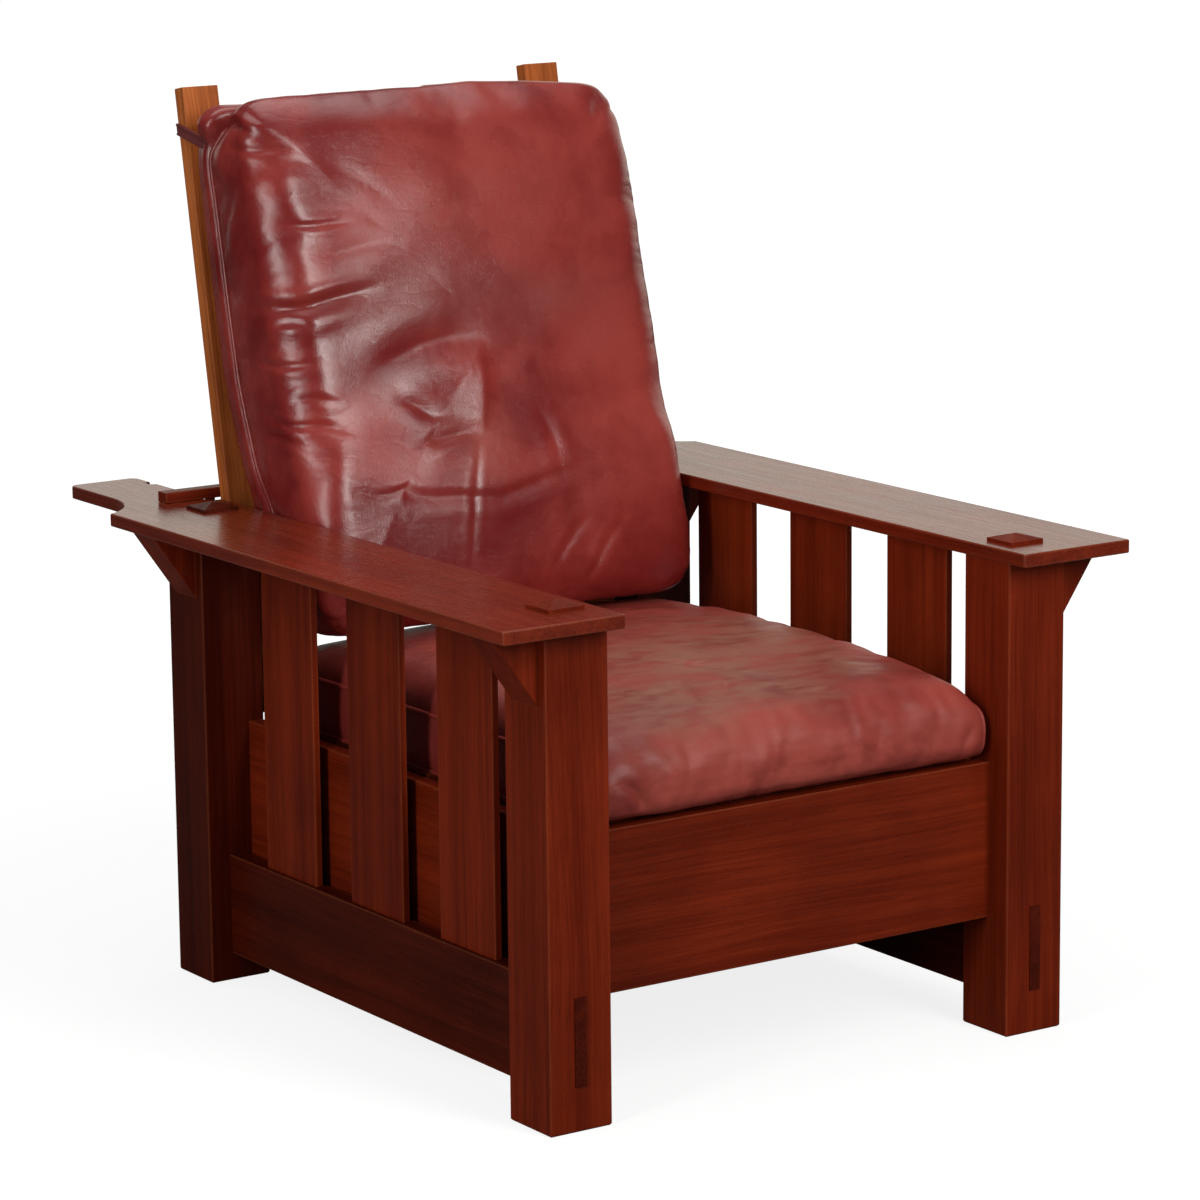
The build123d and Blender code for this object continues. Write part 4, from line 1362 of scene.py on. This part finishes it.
    def nose_creases(self) -> tuple[Crease, ...]:
        """The folds of the nose, in metres across and up.

        Returns:
            The folds.
        """
        return (
            Crease(((-0.262, 0.381), (-0.240, 0.374), (-0.222, 0.362), (-0.206, 0.335)), 4.5, 8.0),
            Crease(((-0.252, 0.360), (-0.238, 0.350), (-0.230, 0.335)), 2.5, 7.0),
            Crease(((-0.150, 0.404), (-0.158, 0.375), (-0.150, 0.340)), 2.0, 10.0),
            Crease(((-0.088, 0.398), (-0.082, 0.370), (-0.092, 0.338)), 1.6, 9.0),
            Crease(((-0.020, 0.404), (-0.030, 0.372), (-0.022, 0.340)), 2.0, 11.0),
            Crease(((0.050, 0.396), (0.058, 0.368), (0.050, 0.338)), 1.6, 9.0),
            Crease(((0.118, 0.402), (0.110, 0.372), (0.120, 0.340)), 2.0, 10.0),
            Crease(((0.178, 0.395), (0.190, 0.368), (0.184, 0.338)), 1.8, 8.0),
            Crease(((0.258, 0.376), (0.238, 0.364), (0.230, 0.338)), 3.0, 8.0),
        )

    def sculpt(self, points: np.ndarray, a: np.ndarray) -> np.ndarray:
        """Height that folds, slow waves and the gathers of the nose add.

        Args:
            points: Points of the band.
            a: Share across the cushion.

        Returns:
            The added height in metres.
        """
        x, y, z = points[..., 0], points[..., 1], points[..., 2]
        upper = smooth_step(z, 0.395, 0.415)
        nose = smooth_step(-y, 0.43, 0.465) * smooth_step(z, 0.328, 0.340)
        total = sum(c.height(x, y) for c in self.top_creases()) * upper
        total += sum(c.height(x, z) for c in self.nose_creases()) * nose
        slow = soft_noise(x, y + z * 0.8, self.wave_length, 21, 3) * self.wave_height
        short = soft_noise(x + 0.4 * y, 1.7 * y, self.ripple_pitch, 23, 2) * self.ripple_height
        wander = soft_noise(x, z, 0.14, 4, 2)
        folds = np.sin(x * 2.0 * pi / self.fold_pitch + 3.6 * wander) * self.fold_height * nose
        free = (1.0 - np.abs(a) ** 14) * smooth_step(z, 0.3258, 0.335)
        free = free * (1.0 - 0.85 * smooth_step(y, 0.04, 0.085))
        return (total + slow + short * upper + folds) * free

    def settle(self, band: np.ndarray) -> np.ndarray:
        """Wrinkles that the band takes when it is blown up over a held base, rear and seams.

        Args:
            band: Points of the band.

        Returns:
            The wrinkles, as a movement of each point of the band.
        """
        near = band[::self.coarse, ::self.coarse]
        rows, columns = near.shape[:2]
        looped = np.concatenate((near, near[:1])).reshape(-1, 3)
        points, faces = welded(looped, grid_faces(rows + 1, columns))
        _, numbers = np.unique(weld_keys(looped), axis=0, return_inverse=True)
        numbers = numbers.reshape(-1)[:rows * columns].reshape(rows, columns)
        firm = (near[..., 2] < self.firm_below) | (near[..., 1] > self.firm_behind)
        firm[:, 0] = firm[:, -1] = True
        moved = blown(points, faces, numbers[firm])[numbers]
        moved = np.concatenate((moved[-self.lap:], moved, moved[:self.lap + 1]))
        fine = wrinkles(moved, (len(moved) - 1) * self.coarse + 1, self.across_count)
        return self.ripple * fine[self.lap * self.coarse:self.lap * self.coarse + len(band)]

    def build(self, leather: bpy.types.Material) -> None:
        """Makes the cushion and the piping round its gussets.

        Args:
            leather: Its leather.
        """
        edge = self.loop(self.edge_top, self.edge_base, 5)
        middle = self.loop(self.middle_top, self.middle_base, 6)
        a, swell = self.cross()
        profile = edge[:, None] + (middle - edge)[:, None] * swell[None, :, None]
        share = np.broadcast_to(a, profile.shape[:2])
        band = np.stack((share * self.half, profile[..., 0] + self.face_y, profile[..., 1]),
                        axis=-1)
        loose = (1.0 - np.abs(share) ** 8) * smooth_step(band[..., 2], 0.326, 0.335)
        loose = loose * (1.0 - 0.85 * smooth_step(band[..., 1], 0.03, 0.085))
        band = band + self.settle(band) * loose[..., None]
        normal = grid_normals(band, closed=True)
        crest = self.along_count // 2
        normal *= np.sign(normal[crest, self.across_count // 2, 2])
        band = band + normal * self.sculpt(band, share)[..., None]
        parts = [(np.concatenate((band, band[:1])).reshape(-1, 3),
                  grid_faces(len(band) + 1, self.across_count))]
        for side, column in ((Side.LEFT, 0), (Side.RIGHT, -1)):
            parts.append(self.gusset(band[:, column], side))
            rings = tube_points(band[:, column] + np.array((side.value * 1.2 * MM, 0.0, 0.0)),
                                self.piping_radius, 10, np.array((1.0, 0.0, 0.0)), True)
            mesh_piece(f"seat_cushion_piping_{side.name.lower()}", *closed_rings(rings), leather,
                       "frame", "cushion_leather")
        starts = np.cumsum([0] + [len(points) for points, _ in parts])
        points = np.concatenate([points for points, _ in parts])
        faces = np.concatenate([faces + start for (_, faces), start in zip(parts, starts)])
        cushion = mesh_piece("seat_cushion_cover", *welded(points, faces), leather, "frame",
                             "cushion_leather")
        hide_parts("seat_cushion")
        log.info("seat cushion and its piping")

    def gusset(self, border: np.ndarray, side: Side) -> tuple[np.ndarray, np.ndarray]:
        """Side panel from the seam to a level spine, standing out by a half dome.

        Args:
            border: Closed line of the seam.
            side: The panel's side.

        Returns:
            Points and faces.
        """
        count = len(border)
        twin = (count - np.arange(count)) % count
        spine = (border + border[twin]) / 2
        tall = np.linalg.norm(border - spine, axis=1)
        share = np.linspace(1.0, 0.0, self.gusset_rings)[:, None]
        points = spine + (border - spine) * share[..., None]
        full = np.sqrt(np.clip(tall / self.gusset_full, 0.0, 1.0))
        slack = soft_noise(points[..., 1], points[..., 2], self.gusset_wave, 31, 2)
        slack = slack * self.gusset_slack * (1.0 - share ** 4)
        dome = self.gusset_bulge * (1.0 - share ** 2) ** 0.6
        points[..., 0] += side.value * full * (dome + slack)
        looped = np.concatenate((points, points[:, :1]), axis=1)
        faces = grid_faces(self.gusset_rings, count + 1)
        return looped.reshape(-1, 3), faces if side is Side.RIGHT else faces[:, ::-1]


@dataclass
class Straps:
    """Leather loops that hang the back cushion on the posts."""

    width: float = 15.0 * MM
    thickness: float = 2.4 * MM
    rim: float = 1.1 * MM
    height: float = 693.5 * MM
    fall: float = 27.0 * MM
    post_outer: float = 274.3 * MM
    post_inner: float = 224.3 * MM
    post_rear: float = -10.5 * MM
    seam_ahead: float = 60.0 * MM
    inner_end: float = 9.0 * MM
    gap: float = 1.6 * MM
    corner: float = 3.5 * MM

    def route(self) -> np.ndarray:
        """Across, ahead and along of the strap's middle line from the seam round the post's rear.

        Formula: straight runs joined by quarter circles at the post's two rear corners, falling
        in a straight line from the post's rear to the cushion.

        Returns:
            Points of the middle line, in the back's own coordinates.
        """
        out_x, in_x = self.post_outer + self.gap, self.post_inner - self.gap
        rear, radius = self.post_rear - self.gap, self.corner
        arc = np.linspace(0.0, pi / 2, 9)
        near, far = radius * np.cos(arc), radius * np.sin(arc)
        first = np.stack((out_x - radius + near, rear + radius - far), axis=1)
        second = np.stack((in_x + radius - far, rear + radius - near), axis=1)
        outside = np.linspace(self.seam_ahead, rear + radius, 16)
        behind = np.linspace(out_x - radius, in_x + radius, 12)
        inside = np.linspace(rear + radius, self.inner_end, 5)
        start = np.stack((np.full(16, out_x), outside), axis=1)[:-1]
        cross = np.stack((behind, np.full(12, rear)), axis=1)[1:-1]
        end = np.stack((np.full(5, in_x), inside), axis=1)[1:]
        plan = np.concatenate((start, first, cross, second, end))
        share = (plan[:, 1] - rear - radius) / (self.seam_ahead - rear)
        drop = self.fall * np.clip(share, 0.0, 1.0)
        return np.stack((plan[:, 0], plan[:, 1], self.height - drop), axis=1)

    def section(self) -> np.ndarray:
        """Outline of the strap: flat between two rolled rims, as offsets out and up.

        Returns:
            The offsets, one row each, in metres.
        """
        turn = np.linspace(0.0, 2.0 * pi, 20, endpoint=False)
        half, flat = self.width / 2, self.thickness / 2
        up = half * np.sign(np.sin(turn)) * np.abs(np.sin(turn)) ** 0.55
        out = flat * np.sign(np.cos(turn)) * np.abs(np.cos(turn)) ** 0.5
        rolled = np.exp(-((np.abs(up) - half * 0.82) / (half * 0.14)) ** 2)
        return np.stack((out + self.rim * rolled * np.sign(out), up), axis=1)

    def build(self, side: Side, leather: bpy.types.Material) -> None:
        """Makes one loop by carrying the section along the route.

        Args:
            side: Side of the chair.
            leather: Its leather.
        """
        path = self.route()
        slope = np.gradient(path, axis=0)
        slope /= np.linalg.norm(slope, axis=1, keepdims=True)
        out = np.cross(slope, np.array((0.0, 0.0, 1.0)))
        out /= np.linalg.norm(out, axis=1, keepdims=True)
        rise = np.cross(out, slope)
        section = self.section()
        rings = (path[:, None] + section[None, :, :1] * out[:, None]
                 + section[None, :, 1:] * rise[:, None])
        rings = from_back(rings[..., 0] * side.value, rings[..., 1], rings[..., 2])
        strap = mesh_piece(f"back_strap_loop_{side.name.lower()}", *capped_rings(rings), leather,
                           "back", "strap_leather")
        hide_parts(f"back_strap_{side.name.lower()}")


@dataclass
class WoodFrame:
    """The oak boards and steel fittings, dressed where they stand.

    The arms, the back posts, the side rails and rear legs (darker, as painted shade), the right
    side's slats (lighter, as painted light) and the boards inside the seat and the back have
    finishes of their own. Every board starts its pattern seed_step further on than the one before.
    """

    oak: OakFinish = OakFinish()
    arm: OakFinish = OakFinish(ior=1.36, coat=0.32, gloss_low=0.24, gloss_high=0.34, wear=0.25)
    post: OakFinish = OakFinish(dark=(0.290, 0.068, 0.015), light=(0.700, 0.205, 0.048), wear=0.2)
    # Painted shade: a darker stain for the side rails and rear legs, standing in for the shade on
    # them
    painted_shade: OakFinish = OakFinish(dark=(0.048, 0.0040, 0.0010), light=(0.100, 0.0095, 0.0021))
    # Painted light: a lighter stain for the right side's slats, standing in for light on them
    painted_light: OakFinish = OakFinish(dark=(0.185, 0.0190, 0.0045), light=(0.330, 0.0410, 0.0092))
    inner: OakFinish = OakFinish(dark=(0.090, 0.010, 0.003), light=(0.200, 0.030, 0.009),
                                 wear=0.15, gloss_low=0.5, gloss_high=0.65)
    steel: SteelFinish = SteelFinish()
    grains: tuple[tuple[str, Grain], ...] = (
        ("leg_", Grain.UP), ("corbel_", Grain.UP), ("side_slat_", Grain.UP), ("arm_", Grain.DEEP),
        ("side_rail_", Grain.DEEP), ("seat_side_", Grain.DEEP), ("seat_cleat_", Grain.DEEP),
        ("back_post_", Grain.POST), ("front_apron", Grain.ACROSS), ("rear_seat_rail", Grain.ACROSS),
        ("seat_slat_", Grain.ACROSS), ("back_rail", Grain.ACROSS), ("back_slat_", Grain.ACROSS),
        ("support_bar", Grain.ACROSS))
    metal: tuple[str, ...] = ("pivot_pin", "pivot_washer", "seat_cleat_screws", "seat_slat_screws")
    plain: tuple[str, ...] = ("seat_cleat_", "seat_slat_", "back_rail", "back_slat_")
    seed_step: float = 0.37

    def finish(self, name: str) -> OakFinish:
        """The finish of one board by its name.

        Args:
            name: The board's name.

        Returns:
            The finish.
        """
        if name.startswith(self.plain):
            return self.inner
        if name.startswith("back_post_"):
            return self.post
        # Painted shade for the side rails and rear legs, painted light for the right side's slats
        if name.startswith(("side_rail_", "leg_rear_")):
            return self.painted_shade
        if name.startswith("side_slat_right_"):
            return self.painted_light
        return self.arm if name.startswith("arm_") else self.oak

    def dress(self, groups: Groups) -> None:
        """Gives every board and fitting its finish.

        Args:
            groups: The shared shader groups.
        """
        for number, (name, node) in enumerate(sorted(frame["nodes"].items())):
            if name.startswith(self.metal):
                self.steel.dress(node)
                continue
            grain = next((g for start, g in self.grains if name.startswith(start)), None)
            if grain is not None:
                self.finish(name).dress(node, grain, self.seed_step * number, groups)
                log.info("%s dressed, grain %s", name, grain.name)


@dataclass(frozen=True)
class Lamp:
    """An area lamp that faces the chair, placed by turn and rise in degrees round the aim."""

    name: str
    turn: float
    rise: float
    away: float
    size: tuple[float, float]
    watts: float
    tone: Colour

    def hang(self, aim: Vector) -> None:
        """Adds the lamp to the scene.

        Args:
            aim: Place that the lamp faces.
        """
        data = bpy.data.lights.new(self.name, "AREA")
        data.shape, data.size, data.size_y, data.energy = "RECTANGLE", *self.size, self.watts
        data.color = self.tone
        lamp = bpy.data.objects.new(self.name, data)
        bpy.context.scene.collection.objects.link(lamp)
        turn, rise = radians(self.turn), radians(self.rise)
        toward = Vector((sin(turn) * cos(rise), -cos(turn) * cos(rise), sin(rise)))
        lamp.location = aim + self.away * toward
        lamp.rotation_mode = "QUATERNION"
        lamp.rotation_quaternion = (-toward).to_track_quat("-Z", "Y")


@dataclass
class Studio:
    """Pale floor, soft lamps and the camera at the photograph's angle.

    In gloss the world has a bright side, which fades out above it, a paler top and a dim rest.
    """

    place: Vector = field(default_factory=lambda: Vector((-3.01897, -4.53804, 1.58214)))
    yaw: float = radians(34.107)
    pitch: float = radians(-11.4945)
    roll: float = radians(-0.5944)
    lens: float = 138.55
    sensor: float = 36.0
    ambient: float = 0.24
    backdrop: Colour = (1.0, 0.95, 0.83)
    side: tuple[float, float] = (0.56, 0.83)
    side_edges: tuple[float, float] = (0.45, 0.85)
    side_fade: tuple[float, float] = (0.30, 0.50)
    side_light: float = 0.92
    top_edges: tuple[float, float] = (0.2, 0.95)
    top_light: float = 0.10
    rest_light: float = 0.02
    floor_reach: float = 14.0
    floor_greys: tuple[float, float] = (0.15, 0.25)
    floor_glow: tuple[float, float, float, float] = (0.9, 2.4, 0.84, 1.0)
    aim: Vector = field(default_factory=lambda: Vector((0.0, 0.0, 0.60)))
    lamps: tuple[Lamp, ...] = (
        Lamp("key", 7.0, 27.0, 3.6, (0.95, 2.1), 66.0, (1.0, 0.98, 0.95)),
        Lamp("window", -66.0, 14.0, 3.0, (0.42, 2.0), 30.0, (1.0, 0.98, 0.96)),
        Lamp("overhead", 170.0, 80.0, 2.6, (2.4, 1.8), 28.0, (1.0, 0.99, 0.97)))

    def camera(self) -> None:
        """Makes the camera."""
        flat = cos(self.pitch)
        ahead = Vector((sin(self.yaw) * flat, cos(self.yaw) * flat, sin(self.pitch)))
        level = Vector((cos(self.yaw), -sin(self.yaw), 0.0))
        upright = level.cross(ahead)
        right = cos(self.roll) * level + sin(self.roll) * upright
        up = -sin(self.roll) * level + cos(self.roll) * upright
        data = bpy.data.cameras.new("camera")
        data.lens, data.sensor_width = self.lens, self.sensor
        camera = bpy.data.objects.new("camera", data)
        bpy.context.scene.collection.objects.link(camera)
        turned = Matrix((right, up, -ahead)).transposed().to_4x4()
        turned.translation = self.place
        camera.matrix_world = turned
        bpy.context.scene.camera = camera

    def world(self) -> None:
        """White to the camera, pale behind and above in gloss, dim elsewhere."""
        world = bpy.data.worlds.new("studio")
        bpy.context.scene.world = world
        world.use_nodes = True
        board = Board(world.node_tree)
        rays = board.add("ShaderNodeLightPath").outputs
        x, y, z = board.add("ShaderNodeSeparateXYZ", {
            0: board.add("ShaderNodeTexCoord").outputs["Generated"]}).outputs
        across = board.total((x, self.side[0]), (y, self.side[1]))
        low = board.math("SUBTRACT", 1.0, board.ramp(z, *self.side_fade))
        bright = board.math("MULTIPLY", board.ramp(across, *self.side_edges), low)
        top = board.math("MULTIPLY", board.ramp(z, *self.top_edges), self.top_light)
        seen = board.math("ADD", board.math("MULTIPLY", bright, self.side_light), top, clamp=True)
        glossy = board.math("MAXIMUM", rays["Is Glossy Ray"], rays["Is Transmission Ray"])
        extra = board.math("SUBTRACT", board.math("ADD", seen, self.rest_light), self.ambient)
        strength = board.math("ADD", self.ambient, board.math("MULTIPLY", glossy, extra))
        strength = board.math("MAXIMUM", strength, rays["Is Camera Ray"])
        tint = board.blend(board.math("MULTIPLY", glossy, bright), (1.0, 1.0, 1.0, 1.0),
                           (*self.backdrop, 1.0))
        board.feed(world.node_tree.nodes["Background"], {"Color": tint, "Strength": strength})

    def floor(self) -> None:
        """A wide floor, white to the camera, with a soft shadow and little bounced light."""
        mesh = bpy.data.meshes.new("floor")
        reach = self.floor_reach
        corners = [(-reach, -reach, 0.0), (reach, -reach, 0.0), (reach, reach, 0.0),
                   (-reach, reach, 0.0)]
        mesh.from_pydata(corners, [], [(0, 1, 2, 3)])
        floor = bpy.data.objects.new("floor", mesh)
        bpy.context.scene.collection.objects.link(floor)
        material = bpy.data.materials.new("floor")
        material.use_nodes = True
        board = Board(material.node_tree)
        board.tree.nodes.remove(board.tree.nodes["Principled BSDF"])
        rays = board.add("ShaderNodeLightPath").outputs
        place = board.add("ShaderNodeTexCoord").outputs["Object"]
        away = board.add("ShaderNodeVectorMath", {0: place}, operation="LENGTH").outputs["Value"]
        seen = board.math("MAXIMUM", rays["Is Camera Ray"], rays["Is Transmission Ray"])
        plain, matte = (board.add("ShaderNodeBsdfDiffuse", {"Color": (grey, grey, grey, 1.0)})
                        for grey in self.floor_greys)
        glow = board.add("ShaderNodeEmission", {"Strength": board.span(away, *self.floor_glow)})
        lit = board.add("ShaderNodeAddShader", {0: glow.outputs[0], 1: matte.outputs[0]})
        both = board.add("ShaderNodeMixShader", {0: seen, 1: plain.outputs[0], 2: lit.outputs[0]})
        board.tree.links.new(both.outputs[0], board.tree.nodes["Material Output"].inputs["Surface"])
        mesh.materials.append(material)

    def build(self) -> None:
        """Sets up the whole studio."""
        bpy.context.scene.view_settings.view_transform = "Standard"
        self.camera()
        self.world()
        self.floor()
        for lamp in self.lamps:
            lamp.hang(self.aim)
            log.info("%s lamp", lamp.name)


def main() -> None:
    """Builds the finishes, the cushions, the straps and the studio in order."""
    logging.basicConfig(level=logging.INFO, format="%(name)s: %(message)s")
    groups = Groups()
    WoodFrame().dress(groups)
    BackCushion().build(BACK_LEATHER.material(groups))
    SeatCushion().build(SEAT_LEATHER.material(groups))
    strap = STRAP_LEATHER.material(groups)
    for side in Side:
        Straps().build(side, strap)
    Studio().build()


if __name__ == "__main__":
    main()
